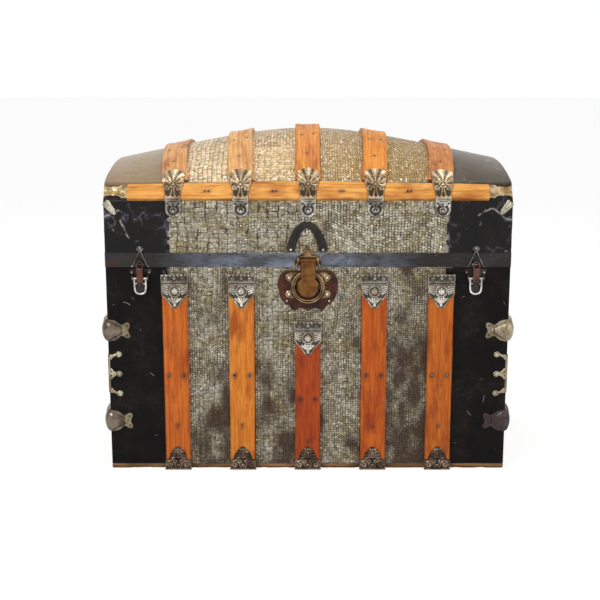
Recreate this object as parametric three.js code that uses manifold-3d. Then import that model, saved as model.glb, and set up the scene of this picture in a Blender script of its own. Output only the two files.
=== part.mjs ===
// Dome top trunk: a tin-covered wooden box with a humped lid, hardwood slats and pressed metal trim.
// Millimetres, +Z up, the front faces -Y, the origin is on the floor under the middle of the box.

import * as THREE from "three";
import { mergeVertices } from "three/addons/utils/BufferGeometryUtils.js";
import Module from "manifold-3d";

const wasm = await Module();
wasm.setup();

// Body of the trunk, measured outside its tin
const trunkLength = 762;
const trunkDepth = 457;
const seamHeight = 398;
const lidWallHeight = 124;
const bevelRun = 22;
const bevelRise = 33.5;
const crownRiseMiddle = 90.5;
const crownRiseEnd = 29.5;
const crownSlopeShare = 0.23;
const crownSteps = 12;

// Boards, tin and clearances
const boardThickness = 10;
const bottomThickness = 10;
const domeBoardThickness = 8;
const tinThickness = 0.8;
const sheetThickness = 1.2;
const embossedLap = 8;
const seatGap = 0.3;
const overrun = 4;

// Hardwood slats
const slatCount = 5;
const outerSlatInset = 130;
const slatWidth = 48;
const slatThickness = 9;
const slatDrop = 18;
const middleSlatDrop = 109;
const backSlatEvery = 2;
const domeSlatThickness = 8;
const domeSlatLeanBase = 12;
const domeSlatLeanShare = 0.087;
const endSlatWidth = 42;
const endSlatHeights = { lower: 97, upper: 276 };
const endSlatInset = 14;

// Pressed clamps on the slats
const topClampHeight = 65;
const topClampRise = 5;
const topClampPointShare = 0.38;
const footClampShoulder = 22;
const footClampNeck = 30;
const footClampTop = 48;
const footClampLobeWidth = 25;

// Rails at the foot of the dome, with their clamps
const railEndInset = 45;
const railWidth = 38;
const railThickness = 9;
const railInset = 1;
const palmetteWidth = 42;
const palmetteTabWidth = 32;
const palmetteTabDrop = 30;
const palmetteReachShare = 0.6;
const cornerClampLap = 4;
const cornerClampInset = 0.5;
const cornerClampDrop = 26;
const clampFold = 4;
const clampHold = 1.5;

// Corner bumpers and braces
const bumperRadius = 22;
const bumperInset = 10;
const bumperReach = 43;
const bumperHeight = 44;
const bumperTabHeight = 36;
const bumperTabThickness = 2;
const bumperSteps = { round: 14, high: 8 };
const braceHeights = [154, 190.5, 227];
const braceFingerWidth = 12;
const braceReach = 26;
const braceSpineWidth = 9;

// Lock and hasp in the middle of the front
const escutcheonWidth = 113;
const escutcheonDrop = 6;
const escutcheonHeight = 78;
const escutcheonShoulderShare = 0.45;
const lockWidth = 87;
const lockDrop = 4;
const lockHeight = 53;
const lockDepth = 8;
const lockWall = 1.5;
const lockCornerRadius = 9;
const lockEyeRise = 26;
const ringRadius = 29;
const ringWidth = 3;
const ringHeight = 1.5;
const slotSize = 14;
const haspWidth = 30;
const haspThickness = 3.5;
const haspDiscRadius = 18;
const haspAxisRise = 9;
const haspBarrelRadius = 4;
const haspPinRadius = 1.6;
const haspPlateLift = 4;
const haspPlateHeight = 36;
const haspPlateWidth = 50;
const haspPlateThickness = 2;
const earWidth = 5.5;
const stapleWidth = 9;
const stapleHeight = 12;
const stapleTipGap = 0.5;
const boltHeight = 5;
const boltDepth = 3.2;
const boltLength = 28;
const boltRest = 8;
const ringSeat = 0.7;

// Steel valance round the foot of the lid
const bandHeight = 27;
const bandThickness = 1;

// Draw latches beside the lock
const latchInset = 66;
const latchPlateWidth = 44;
const latchPlateDrop = 4;
const latchPlateHeight = 48;
const latchPlateThickness = 2;
const latchAxisDrop = 20;
const latchAxisReach = 9.5;
const latchPinRadius = 1.8;
const latchLugWidth = 2.5;
const latchLugRadius = 5;
const leverWidth = 25;
const leverWireRadius = 2;
const leverLength = 36;
const hookCrank = 10;
const hookWidth = 14;
const hookPinRadius = 1.5;
const hookBarrelRadius = 3.6;
const hookPlateThickness = 2.4;
const hookLipLift = 3.5;
const hookLipThickness = 2.4;
const hookLipReach = 6.5;
const catchHeight = 40;
const catchWidth = 32;
const catchTipWidth = 12;
const catchLugLift = 3.5;
const catchLugHeight = 6;
const catchLugReach = 10.5;
const catchLugWidth = 16;

// Leather: the lift loop on the lid and the two end handles
const loopCentre = -2;
const loopWidth = 79;
const strapWidth = 16;
const strapThickness = 4;
const loopHeight = 55;
const loopAxisReach = 2.6;
const handleHeight = 187;
const handleSpan = 180;
const handleBowDepth = 32;
const handleWidth = 30;
const handleThickness = 5;
const handleTuck = 34;
const handleSteps = 16;
const capLength = 44;
const capHeight = 44;

// Hinges on the back
const hingeInset = 191;
const hingeWidth = 60;
const hingeLeafHeight = 46;
const hingeLeafThickness = 2;
const hingeKnuckleRadius = 4.5;
const hingeAxisReach = 5;
const hingePinRadius = 2;
const hingeKnuckleLength = 20;

// Lift-out tray on two cleats
const trayDrop = 10;
const cleatHeight = 12;
const cleatDepth = 12;
const trayHeight = 88;
const trayWall = 8;
const trayFloor = 5;
const traySideGap = 2.2;
const trayCellShares = [0, 0.3, 0.7, 1];
const trayGripWidth = 90;
const trayGripHeight = 24;
const trayGripDrop = 18;

// Counts of sides on round pieces
const barrelSides = 12;
const discSteps = 12;
const plateSteps = 3;

// Lines that many pieces share
const halfLength = trunkLength / 2;
const halfDepth = trunkDepth / 2;
const front = -halfDepth;
const wallTop = seamHeight + lidWallHeight;
const bevelLength = Math.hypot(bevelRun, bevelRise);
const clampWidth = slatWidth + 2 * (seatGap + sheetThickness);
const woodLength = trunkLength - 2 * tinThickness;
const woodDepth = trunkDepth - 2 * tinThickness;
const sides = { left: -1, right: 1 };
const slatPitch = (trunkLength - 2 * outerSlatInset) / (slatCount - 1);
const latchOffset = halfLength - latchInset;
const hingeOffset = halfLength - hingeInset;
const slatPlaces = Array.from({ length: slatCount }, (_, i) => (i - (slatCount - 1) / 2) * slatPitch);
const embossedWidth = (slatCount - 1) * slatPitch + 2 * embossedLap;
const railLength = trunkLength - 2 * railEndInset;

// Heights that are measured from the seam
const slatTop = seamHeight - slatDrop;
const middleSlatTop = seamHeight - middleSlatDrop;
const escutcheonTop = seamHeight - escutcheonDrop;
const escutcheonBottom = escutcheonTop - escutcheonHeight;
const lockTop = escutcheonTop - lockDrop;
const lockBottom = lockTop - lockHeight;
const lockEyeHeight = lockBottom + lockEyeRise;
const haspPlateBottom = seamHeight + haspPlateLift;
const haspPlateTop = haspPlateBottom + haspPlateHeight;
const haspAxisHeight = haspPlateBottom + haspAxisRise;
const latchPlateTop = seamHeight - latchPlateDrop;
const latchPlateBottom = latchPlateTop - latchPlateHeight;
const latchAxisHeight = seamHeight - latchAxisDrop;
const catchTop = seamHeight + catchHeight;
const catchLugTop = seamHeight + catchLugLift + catchLugHeight;
const hookTop = catchLugTop + hookLipLift;
const bandTop = seamHeight + bandHeight;
const loopAxisHeight = bandTop + strapThickness;
const loopTop = loopAxisHeight + loopHeight;
const trayTop = seamHeight - trayDrop;
const cleatTop = trayTop - trayHeight;

// Surface finishes
const finish = (color, roughness, metalness) => ({ color, roughness, metalness });
const finishes = {
  board: finish("#a98a62", 0.8, 0),
  slat: finish("#b9602a", 0.5, 0),
  domeSlat: finish("#c98446", 0.5, 0),
  blackTin: finish("#1f1b19", 0.4, 0.6),
  embossedTin: finish("#8d846c", 0.45, 0.7),
  domeTin: finish("#a58d62", 0.45, 0.7),
  band: finish("#59616b", 0.4, 0.8),
  pewter: finish("#8b8378", 0.4, 0.9),
  escutcheon: finish("#4c2720", 0.5, 0.6),
  brass: finish("#96723c", 0.4, 0.9),
  steel: finish("#9a9a98", 0.35, 1),
  rust: finish("#6e4030", 0.7, 0.5),
  leather: finish("#4a2c1c", 0.7, 0),
};

// A closed geometry as a solid that can be joined and cut
function solid(geometry) {
  const bare = geometry.clone();
  bare.deleteAttribute("normal");
  bare.deleteAttribute("uv");
  const merged = mergeVertices(bare);
  const vertProperties = merged.attributes.position.array;
  const triVerts = new Uint32Array(merged.index.array);
  return new wasm.Manifold(new wasm.Mesh({ numProp: 3, vertProperties, triVerts }));
}

const join = (first, ...rest) => rest.reduce((sum, next) => sum.add(next), first);
const cut = (first, ...rest) => rest.reduce((sum, next) => sum.subtract(next), first);

// A solid back as a geometry that a mesh can show
function geometryOf(piece) {
  const { vertProperties, triVerts } = piece.getMesh();
  const geometry = new THREE.BufferGeometry();
  geometry.setAttribute("position", new THREE.BufferAttribute(new Float32Array(vertProperties), 3));
  geometry.setIndex(new THREE.BufferAttribute(new Uint32Array(triVerts), 1));
  geometry.computeVertexNormals();
  return geometry;
}

// A named mesh of one finish
function part(name, piece, look) {
  const mesh = new THREE.Mesh(geometryOf(piece), new THREE.MeshStandardMaterial(finishes[look]));
  mesh.name = name;
  return mesh;
}

// A part made for the front, carried round to the back
function turnedPart(name, piece, look) {
  const mesh = part(name, piece, look);
  mesh.rotation.z = Math.PI;
  return mesh;
}

// A rectangular block between its low and high faces
function block([x0, x1], [y0, y1], [z0, z1]) {
  const [low, high] = [Math.min(x0, x1), Math.max(x0, x1)];
  const geometry = new THREE.BoxGeometry(high - low, y1 - y0, z1 - z0);
  return solid(geometry.translate((low + high) / 2, (y0 + y1) / 2, (z0 + z1) / 2));
}

// A round bar along X
function barX([x0, x1], y, z, radius, steps = barrelSides) {
  const geometry = new THREE.CylinderGeometry(radius, radius, x1 - x0, steps);
  return solid(geometry.rotateZ(Math.PI / 2).translate((x0 + x1) / 2, y, z));
}

// An outline in X and Z, as thick as its reach, standing out from a face that looks forward
function frontPlate(outline, face, reach, curveSegments = plateSteps) {
  const settings = { depth: reach, bevelEnabled: false, curveSegments };
  return solid(new THREE.ExtrudeGeometry(outline, settings).rotateX(Math.PI / 2).translate(0, face, 0));
}

// An outline in Y and Z, drawn as points, run along X
function runX(points, [x0, x1]) {
  const outline = new THREE.Shape(points.map(([y, z]) => new THREE.Vector2(y, z)));
  const settings = { depth: x1 - x0, bevelEnabled: false };
  const geometry = new THREE.ExtrudeGeometry(outline, settings);
  return solid(geometry.rotateX(Math.PI / 2).rotateZ(Math.PI / 2).translate(x0, 0, 0));
}

// An outline in X and Y, drawn as points, run up along Z
function runZ(points, [z0, z1]) {
  const outline = new THREE.Shape(points.map(([x, y]) => new THREE.Vector2(x, y)));
  const settings = { depth: z1 - z0, bevelEnabled: false };
  return solid(new THREE.ExtrudeGeometry(outline, settings).translate(0, 0, z0));
}

// A rectangle with round corners
function roundRectangle(x, z0, z1, width, radius) {
  const [low, high] = [x - width / 2, x + width / 2];
  const shape = new THREE.Shape();
  shape.moveTo(low + radius, z0);
  shape.lineTo(high - radius, z0);
  shape.absarc(high - radius, z0 + radius, radius, -Math.PI / 2, 0);
  shape.lineTo(high, z1 - radius);
  shape.absarc(high - radius, z1 - radius, radius, 0, Math.PI / 2);
  shape.lineTo(low + radius, z1);
  shape.absarc(low + radius, z1 - radius, radius, Math.PI / 2, Math.PI);
  shape.lineTo(low, z0 + radius);
  shape.absarc(low + radius, z0 + radius, radius, Math.PI, 1.5 * Math.PI);
  return shape;
}

const disc = (x, z, radius) => new THREE.Shape().absarc(x, z, radius, 0, 2 * Math.PI);

// A line of points in Y and Z, moved sideways by an offset, square corners kept
function offsetLine(points, offset) {
  const normal = ([ya, za], [yb, zb]) => {
    const run = Math.hypot(yb - ya, zb - za);
    return [(za - zb) / run, (yb - ya) / run];
  };
  return points.map((point, i) => {
    const before = normal(points[Math.max(i - 1, 0)], points[Math.max(i, 1)]);
    const last = points.length - 1;
    const after = normal(points[Math.min(i, last - 1)], points[Math.min(i + 1, last)]);
    const spread = 1 + before[0] * after[0] + before[1] * after[1];
    return point.map((value, axis) => value + (offset * (before[axis] + after[axis])) / spread);
  });
}

// A strip bent along a line in Y and Z, with a thickness on its outer side
function bentStrip(points, thickness, range) {
  return runX([...points, ...offsetLine(points, thickness).reverse()].reverse(), range);
}

// The ridge of the dome is round in the middle and runs out straight to its ends, as a hyperbola does
const ridgeSag = crownRiseMiddle - crownRiseEnd;
const ridgeRound = ((crownSlopeShare * halfLength) ** 2 - ridgeSag ** 2) / (2 * ridgeSag);

function crownRise(x) {
  return crownRiseMiddle + ridgeRound - Math.hypot(ridgeRound, crownSlopeShare * x);
}

// The lid's outer line across the trunk: wall, bevel, crown, bevel and wall
function lidLine(x) {
  const reach = halfDepth - bevelRun;
  const rise = crownRise(x);
  const radius = (reach ** 2 + rise ** 2) / (2 * rise);
  const turn = Math.asin(reach / radius);
  const crown = Array.from({ length: crownSteps + 1 }, (_, i) => {
    const angle = turn * ((2 * i) / crownSteps - 1);
    return [radius * Math.sin(angle), wallTop + bevelRise + rise + radius * (Math.cos(angle) - 1)];
  });
  return [[front, seamHeight], [front, wallTop], ...crown, [halfDepth, wallTop], [halfDepth, seamHeight]];
}

const bevelTopIndex = 2;
const lastLineIndex = crownSteps + 4;

// Where the dome is measured along the trunk: the edges of its slats and sheets, and between
const domeStations = [halfLength - tinThickness, embossedWidth / 2]
  .concat(slatPlaces.flatMap((x) => [x - slatWidth / 2, x, x + slatWidth / 2, x + slatPitch / 2]))
  .flatMap((x) => [x, -x])
  .sort((a, b) => a - b);

// A shell over the lid between two offsets from its outer line; lean moves each line point along X
function lidShell([x0, x1], [inner, outer], [first, last] = [0, lastLineIndex], lean = () => 0) {
  const stations = [x0];
  for (const x of domeStations)
    if (x > stations[stations.length - 1] + seatGap && x < x1 - seatGap) stations.push(x);
  stations.push(x1);
  const spots = Array.from({ length: last - first + 1 }, (_, i) => first + i);
  const rows = stations.map((x) => {
    const point = (i, offset) => [x + lean(i), ...offsetLine(lidLine(x + lean(i)), offset)[i]];
    const over = spots.map((i) => point(i, outer));
    const under = spots.map((i) => point(i, inner));
    return [...over, ...under.reverse()];
  });
  const ring = rows[0].length;
  const half = ring / 2;
  const index = [];
  for (let row = 0; row < rows.length - 1; row++)
    for (let i = 0; i < ring; i++) {
      const a = row * ring + i;
      const b = row * ring + ((i + 1) % ring);
      const [c, d] = [a + ring, b + ring];
      index.push(...(i < half ? [a, c, b, b, c, d] : [a, c, d, a, d, b]));
    }
  const cap = (start, flip) => {
    for (let i = 0; i < half - 1; i++) {
      const [a, b, c, d] = [start + i, start + i + 1, start + ring - 2 - i, start + ring - 1 - i];
      index.push(...(flip ? [a, b, d, b, c, d] : [a, d, b, b, d, c]));
    }
  };
  cap(0, true);
  cap((rows.length - 1) * ring, false);
  const geometry = new THREE.BufferGeometry();
  geometry.setAttribute("position", new THREE.Float32BufferAttribute(rows.flat(2), 3));
  geometry.setIndex(index);
  return solid(geometry);
}

// The box: bottom board, four walls, and a cleat on each end that carries the tray
function longWall([z0, z1]) {
  const face = -woodDepth / 2;
  return block([-woodLength / 2, woodLength / 2], [face, face + boardThickness], [z0, z1]);
}

function endWall(side) {
  const outer = (side * woodLength) / 2;
  const inner = outer - side * boardThickness;
  const halfWall = woodDepth / 2 - boardThickness;
  const board = block([inner, outer], [-halfWall, halfWall], [bottomThickness, seamHeight]);
  const cleatRange = [inner + (side * boardThickness) / 2, inner - side * cleatDepth];
  return join(board, block(cleatRange, [-halfWall, halfWall], [cleatTop - cleatHeight, cleatTop]));
}

function boxBoards() {
  const wall = longWall([bottomThickness, seamHeight]);
  const bottom = block([-halfLength, halfLength], [-halfDepth, halfDepth], [0, bottomThickness]);
  return [
    part("bottom_board", bottom, "board"),
    part("box_front_wall", wall, "board"),
    turnedPart("box_back_wall", wall, "board"),
    part("box_left_end", endWall(sides.left), "board"),
    part("box_right_end", endWall(sides.right), "board"),
  ];
}

// A brace round a corner: fingers on both faces, joined by a spine
function cornerBrace(side, end) {
  const corner = side * halfLength;
  const outer = corner + side * sheetThickness;
  const face = halfDepth + sheetThickness;
  const hold = tinThickness / 2;
  const leaf = (reach, z0, z1) => {
    const [far, near] = [corner - side * reach, corner - side * hold];
    const [farY, nearY] = [end * (halfDepth - reach), end * (halfDepth - hold)];
    const outside = [[outer, farY], [outer, end * face], [far, end * face]];
    return runZ([...outside, [far, nearY], [near, nearY], [near, farY]], [z0, z1]);
  };
  const half = braceFingerWidth / 2;
  const spine = leaf(braceSpineWidth, braceHeights[0], braceHeights[braceHeights.length - 1]);
  return join(spine, ...braceHeights.map((z) => leaf(braceReach, z - half, z + half)));
}

// A leather handle seen from above, bowed out in the middle, with room added all round
function handleLine(side, room) {
  const half = handleSpan / 2 + handleTuck;
  const face = side * halfLength;
  const bow = (y) =>
    Math.abs(y) < handleSpan / 2 ? (handleBowDepth / 2) * (1 + Math.cos((2 * Math.PI * y) / handleSpan)) : 0;
  const steps = Array.from({ length: handleSteps + 1 }, (_, i) => handleSpan * (i / handleSteps - 1 / 2));
  const along = [-half - room, ...steps, half + room];
  const near = along.map((y) => [face + side * (bow(y) + seatGap - room), y]);
  const far = along.map((y) => [face + side * (bow(y) + seatGap + handleThickness + room), y]);
  const halfWidth = handleWidth / 2 + room;
  return runZ([...near, ...far.reverse()], [handleHeight - halfWidth, handleHeight + halfWidth]);
}

// A pressed cap over one end of a handle
function handleCap(side, end) {
  const face = side * (halfLength - tinThickness / 2);
  const outer = side * (halfLength + handleThickness + 2 * seatGap + sheetThickness);
  const inner = handleSpan / 2 - seatGap;
  const range = [end * inner, end * (inner + capLength)].sort((a, b) => a - b);
  return block([face, outer], range, [handleHeight - capHeight / 2, handleHeight + capHeight / 2]);
}

// Black tin wrapped round one end of the box, with its nailed-on braces and handle caps
function wrappedTin(side) {
  const outer = side * halfLength;
  const edge = (side * embossedWidth) / 2;
  const range = [bottomThickness, seamHeight];
  const hollow = [edge - side * overrun, side * (halfLength - tinThickness)];
  const wrap = cut(
    block([edge, outer], [-halfDepth, halfDepth], range),
    block(hollow, [-woodDepth / 2, woodDepth / 2], [bottomThickness - overrun, seamHeight + overrun]),
  );
  const caps = cut(join(handleCap(side, -1), handleCap(side, 1)), handleLine(side, seatGap));
  return join(wrap, caps, cornerBrace(side, -1), cornerBrace(side, 1));
}

function boxTins() {
  const half = embossedWidth / 2;
  const panel = block([-half, half], [front, front + tinThickness], [bottomThickness, seamHeight]);
  return [
    part("box_front_tin", panel, "embossedTin"),
    turnedPart("box_back_tin", panel, "embossedTin"),
    part("box_left_tin", wrappedTin(sides.left), "blackTin"),
    part("box_right_tin", wrappedTin(sides.right), "blackTin"),
  ];
}

// The pressed clamp over the top of an upright slat: a shield with its point down
function topClamp(x, top) {
  const [half, high] = [clampWidth / 2, top + topClampRise];
  const low = high - topClampHeight;
  const shoulder = high - topClampHeight * (1 - topClampPointShare);
  const shape = new THREE.Shape();
  shape.moveTo(x - half, high);
  shape.lineTo(x - half, shoulder);
  shape.quadraticCurveTo(x - half, (low + shoulder) / 2, x, low);
  shape.quadraticCurveTo(x + half, (low + shoulder) / 2, x + half, shoulder);
  shape.lineTo(x + half, high);
  return frontPlate(shape, front, slatThickness + sheetThickness);
}

// The clamp on the foot of an upright slat: a broad foot with a round lobe above
function footClamp(x) {
  const half = clampWidth / 2;
  const lobe = footClampLobeWidth / 2;
  const shape = new THREE.Shape();
  shape.moveTo(x - half, 0);
  shape.lineTo(x + half, 0);
  shape.lineTo(x + half, footClampShoulder);
  shape.quadraticCurveTo(x + lobe, footClampShoulder, x + lobe, footClampNeck);
  shape.absarc(x, footClampTop - lobe, lobe, 0, Math.PI);
  shape.lineTo(x - lobe, footClampNeck);
  shape.quadraticCurveTo(x - lobe, footClampShoulder, x - half, footClampShoulder);
  return frontPlate(shape, front, slatThickness + sheetThickness);
}

// An upright slat with its two clamps
function uprightSlat(x, top) {
  const half = slatWidth / 2;
  const wood = block([x - half, x + half], [front - slatThickness, front], [bottomThickness, top]);
  return join(wood, topClamp(x, top), footClamp(x));
}

function uprightSlats() {
  const middle = (slatCount - 1) / 2;
  const fronts = slatPlaces.map((x, i) =>
    part(`front_slat_${i + 1}`, uprightSlat(x, i === middle ? middleSlatTop : slatTop), "slat"),
  );
  const backs = slatPlaces
    .filter((_, i) => i % backSlatEvery === 0)
    .map((x, i) => turnedPart(`back_slat_${i + 1}`, uprightSlat(x, slatTop), "slat"));
  return [...fronts, ...backs];
}

// Slats along the ends of the box, with room added all round for the bumpers' pockets
function endSlat(side, height, room) {
  const half = endSlatWidth / 2 + room;
  const reach = halfDepth - endSlatInset + room;
  const range = [side * halfLength, side * (halfLength + slatThickness + room)];
  return block(range, [-reach, reach], [height - half, height + half]);
}

// A bumper on a front corner: a bulge, a tab on the front and a cap over the end slat
function cornerBumper(side, height) {
  const corner = side * halfLength;
  const ball = new THREE.SphereGeometry(bumperRadius, bumperSteps.round, bumperSteps.high);
  ball.rotateX(Math.PI / 2);
  const bulge = ball.translate(corner - side * bumperInset, front + bumperInset, height);
  const tabHalf = bumperTabHeight / 2;
  const capHalf = bumperHeight / 2 + sheetThickness;
  const foldedX = corner + side * bumperTabThickness;
  const foldedY = front - bumperTabThickness;
  const tab = block([foldedX, corner - side * bumperReach], [foldedY, front],
    [height - tabHalf, height + tabHalf]);
  const cap = block([corner, corner + side * (slatThickness + seatGap + sheetThickness)],
    [foldedY, front + bumperReach], [height - capHalf, height + capHalf]);
  const trunk = block([0, corner], [-halfDepth, halfDepth], [0, seamHeight]);
  return cut(join(solid(bulge), tab, cap), trunk, endSlat(side, height, seatGap));
}

function endTrim() {
  const trim = [];
  for (const [sideName, side] of Object.entries(sides))
    for (const [levelName, height] of Object.entries(endSlatHeights)) {
      const opposite = side < 0 ? "right" : "left";
      trim.push(part(`end_slat_${sideName}_${levelName}`, endSlat(side, height, 0), "slat"));
      const bumper = cornerBumper(side, height);
      trim.push(part(`corner_bumper_front_${sideName}_${levelName}`, bumper, "pewter"));
      trim.push(turnedPart(`corner_bumper_back_${opposite}_${levelName}`, bumper, "pewter"));
    }
  return trim;
}

// Lock: a backing sheet, a hollow case with a ring round its slot, and a bolt that slides inside
const lockFace = front - sheetThickness;
const caseFace = lockFace - lockDepth;
const boltBack = caseFace + lockWall + seatGap + boltDepth;

function escutcheon() {
  const half = escutcheonWidth / 2;
  const shoulder = escutcheonBottom + (escutcheonTop - escutcheonBottom) * escutcheonShoulderShare;
  const shape = new THREE.Shape();
  shape.moveTo(-half, escutcheonTop);
  shape.lineTo(-half, shoulder);
  shape.quadraticCurveTo(-half / 2, shoulder, 0, escutcheonBottom);
  shape.quadraticCurveTo(half / 2, shoulder, half, shoulder);
  shape.lineTo(half, escutcheonTop);
  return frontPlate(shape, front, sheetThickness);
}

function lockCase() {
  const outline = (inset) =>
    roundRectangle(0, lockBottom + inset, lockTop - inset, lockWidth - 2 * inset, lockCornerRadius - inset);
  const shell = frontPlate(outline(0), lockFace, lockDepth);
  const hollow = frontPlate(outline(lockWall), lockFace + overrun, lockDepth - lockWall + overrun);
  const ringShape = disc(0, lockEyeHeight, ringRadius);
  ringShape.holes.push(disc(0, lockEyeHeight, ringRadius - ringWidth));
  const ring = frontPlate(ringShape, caseFace + ringSeat, ringSeat + ringHeight, discSteps);
  const half = slotSize / 2;
  const slot = block([-half, half], [caseFace - overrun, caseFace + lockWall + overrun],
    [lockEyeHeight - half, lockEyeHeight + half]);
  return cut(join(shell, ring), hollow, slot);
}

function lockBolt() {
  const half = boltHeight / 2;
  return block([boltRest, boltRest + boltLength], [boltBack - boltDepth, boltBack],
    [lockEyeHeight - half, lockEyeHeight + half]);
}

// Hasp: a tongue that hangs from the lid over the lock, with a staple that the bolt goes through
const haspFace = front - bandThickness - haspPlateThickness;
const haspAxisDepth = haspFace - haspBarrelRadius - 2 * seatGap;
const haspBack = caseFace - ringHeight - seatGap;

function hasp() {
  const half = haspWidth / 2;
  const tongue = frontPlate(disc(0, lockEyeHeight, haspDiscRadius), haspBack, haspThickness, discSteps);
  const neck = block([-half, half], [haspBack - haspThickness, haspBack], [lockEyeHeight, haspAxisHeight]);
  const web = block([-half, half], [haspBack - haspThickness, haspAxisDepth],
    [haspAxisHeight - haspBarrelRadius, haspAxisHeight]);
  const barrel = barX([-half, half], haspAxisDepth, haspAxisHeight, haspBarrelRadius);
  const boreRadius = haspPinRadius + seatGap;
  const bore = barX([-half - overrun, half + overrun], haspAxisDepth, haspAxisHeight, boreRadius);
  const stapleReach = [haspBack - haspThickness / 2, lockFace - stapleTipGap];
  const staple = block([-stapleWidth / 2, stapleWidth / 2], stapleReach,
    [lockEyeHeight - stapleHeight / 2, lockEyeHeight + stapleHeight / 2]);
  const eyeHalf = boltHeight / 2 + seatGap;
  const eye = block([-stapleWidth, stapleWidth], [boltBack - boltDepth - seatGap, boltBack + seatGap],
    [lockEyeHeight - eyeHalf, lockEyeHeight + eyeHalf]);
  return cut(join(tongue, neck, web, barrel, staple), bore, eye);
}

// The hasp's plate on the lid, with two ears and the pin that carries the hasp
function haspPlate() {
  const half = haspPlateWidth / 2;
  const shape = new THREE.Shape();
  shape.moveTo(-half, haspPlateBottom);
  shape.lineTo(half, haspPlateBottom);
  shape.lineTo(half, haspAxisHeight);
  shape.lineTo(0, haspPlateTop);
  shape.lineTo(-half, haspAxisHeight);
  const plate = frontPlate(shape, front, bandThickness + haspPlateThickness);
  const inner = haspWidth / 2 + seatGap;
  const outer = inner + earWidth;
  const ears = [-1, 1].map((side) =>
    block([side * inner, side * outer], [haspAxisDepth - haspBarrelRadius, haspFace + haspPlateThickness / 2],
      [haspAxisHeight - haspBarrelRadius, haspAxisHeight + haspBarrelRadius]),
  );
  return join(plate, ...ears, barX([-outer, outer], haspAxisDepth, haspAxisHeight, haspPinRadius));
}

// Draw latches: a lever on a base plate pulls a hook down over a lug on the lid
const latchAxisDepth = front - latchAxisReach;
const hookAxisHeight = latchAxisHeight - hookCrank;

function latchBase(x) {
  const half = latchPlateWidth / 2;
  const shape = new THREE.Shape();
  shape.moveTo(x - half, latchPlateTop);
  shape.lineTo(x - leverWidth / 4, latchPlateBottom);
  shape.lineTo(x + leverWidth / 4, latchPlateBottom);
  shape.lineTo(x + half, latchPlateTop);
  const plate = frontPlate(shape, front, latchPlateThickness);
  const inner = leverWidth / 2 + seatGap;
  const lugs = [-1, 1].map((side) => {
    const range = [x + side * inner, x + side * (inner + latchLugWidth)].sort((a, b) => a - b);
    const arm = block(range, [latchAxisDepth, front - latchPlateThickness / 2],
      [latchAxisHeight - latchLugRadius, latchAxisHeight + latchLugRadius]);
    return join(arm, barX(range, latchAxisDepth, latchAxisHeight, latchLugRadius));
  });
  const reach = inner + latchLugWidth + overrun;
  const bore = barX([x - reach, x + reach], latchAxisDepth, latchAxisHeight, latchPinRadius + seatGap);
  return cut(join(plate, ...lugs), bore);
}

function latchLever(x) {
  const outer = leverWidth / 2;
  const inner = outer - 2 * leverWireRadius;
  const bend = latchAxisHeight - leverLength + outer;
  const shape = new THREE.Shape();
  shape.moveTo(x - outer, latchAxisHeight);
  shape.absarc(x, bend, outer, Math.PI, 2 * Math.PI);
  shape.lineTo(x + outer, latchAxisHeight);
  shape.lineTo(x + inner, latchAxisHeight);
  shape.absarc(x, bend, inner, 2 * Math.PI, Math.PI, true);
  shape.lineTo(x - inner, latchAxisHeight);
  const wire = frontPlate(shape, latchAxisDepth + leverWireRadius, 2 * leverWireRadius);
  const reach = outer + seatGap + latchLugWidth;
  const axle = barX([x - reach, x + reach], latchAxisDepth, latchAxisHeight, latchPinRadius);
  const hold = inner + leverWireRadius;
  const pin = barX([x - hold, x + hold], latchAxisDepth, hookAxisHeight, hookPinRadius);
  return join(wire, axle, pin);
}

function latchHook(x) {
  const half = hookWidth / 2;
  const back = latchAxisDepth - hookBarrelRadius + seatGap * 2;
  const face = back - hookPlateThickness;
  const range = [x - half, x + half];
  const barrel = barX(range, latchAxisDepth, hookAxisHeight, hookBarrelRadius);
  const boreRange = [x - half - overrun, x + half + overrun];
  const bore = barX(boreRange, latchAxisDepth, hookAxisHeight, hookPinRadius + seatGap);
  const plate = block(range, [face, back], [hookAxisHeight - hookBarrelRadius / 2, hookTop]);
  const lip = block(range, [face, face + hookLipReach], [hookTop - hookLipThickness, hookTop]);
  return cut(join(barrel, plate, lip), bore);
}

// The plate and lug on the lid that a latch hooks over
function latchCatch(x) {
  const [half, tip] = [catchWidth / 2, catchTipWidth / 2];
  const shape = new THREE.Shape();
  shape.moveTo(x - half, seamHeight);
  shape.lineTo(x + half, seamHeight);
  shape.lineTo(x + tip, catchTop);
  shape.lineTo(x - tip, catchTop);
  const plate = frontPlate(shape, front, bandThickness + sheetThickness);
  const lug = block([x - catchLugWidth / 2, x + catchLugWidth / 2], [front - catchLugReach, front],
    [catchLugTop - catchLugHeight, catchLugTop]);
  return join(plate, lug);
}

function lockAndLatches() {
  const pieces = [
    part("lock_escutcheon", escutcheon(), "escutcheon"),
    part("lock_case", lockCase(), "brass"),
    part("lock_bolt", lockBolt(), "steel"),
    part("hasp", hasp(), "brass"),
  ];
  for (const [name, side] of Object.entries(sides)) {
    const x = side * latchOffset;
    pieces.push(part(`latch_base_${name}`, latchBase(x), "rust"));
    pieces.push(part(`latch_lever_${name}`, latchLever(x), "steel"));
    pieces.push(part(`latch_hook_${name}`, latchHook(x), "rust"));
  }
  return pieces;
}

// The lid: a frame with arched ends, and boards bent over it
const domeBoardTop = -tinThickness - seatGap;
const domeBoardUnder = domeBoardTop - domeBoardThickness;

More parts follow.
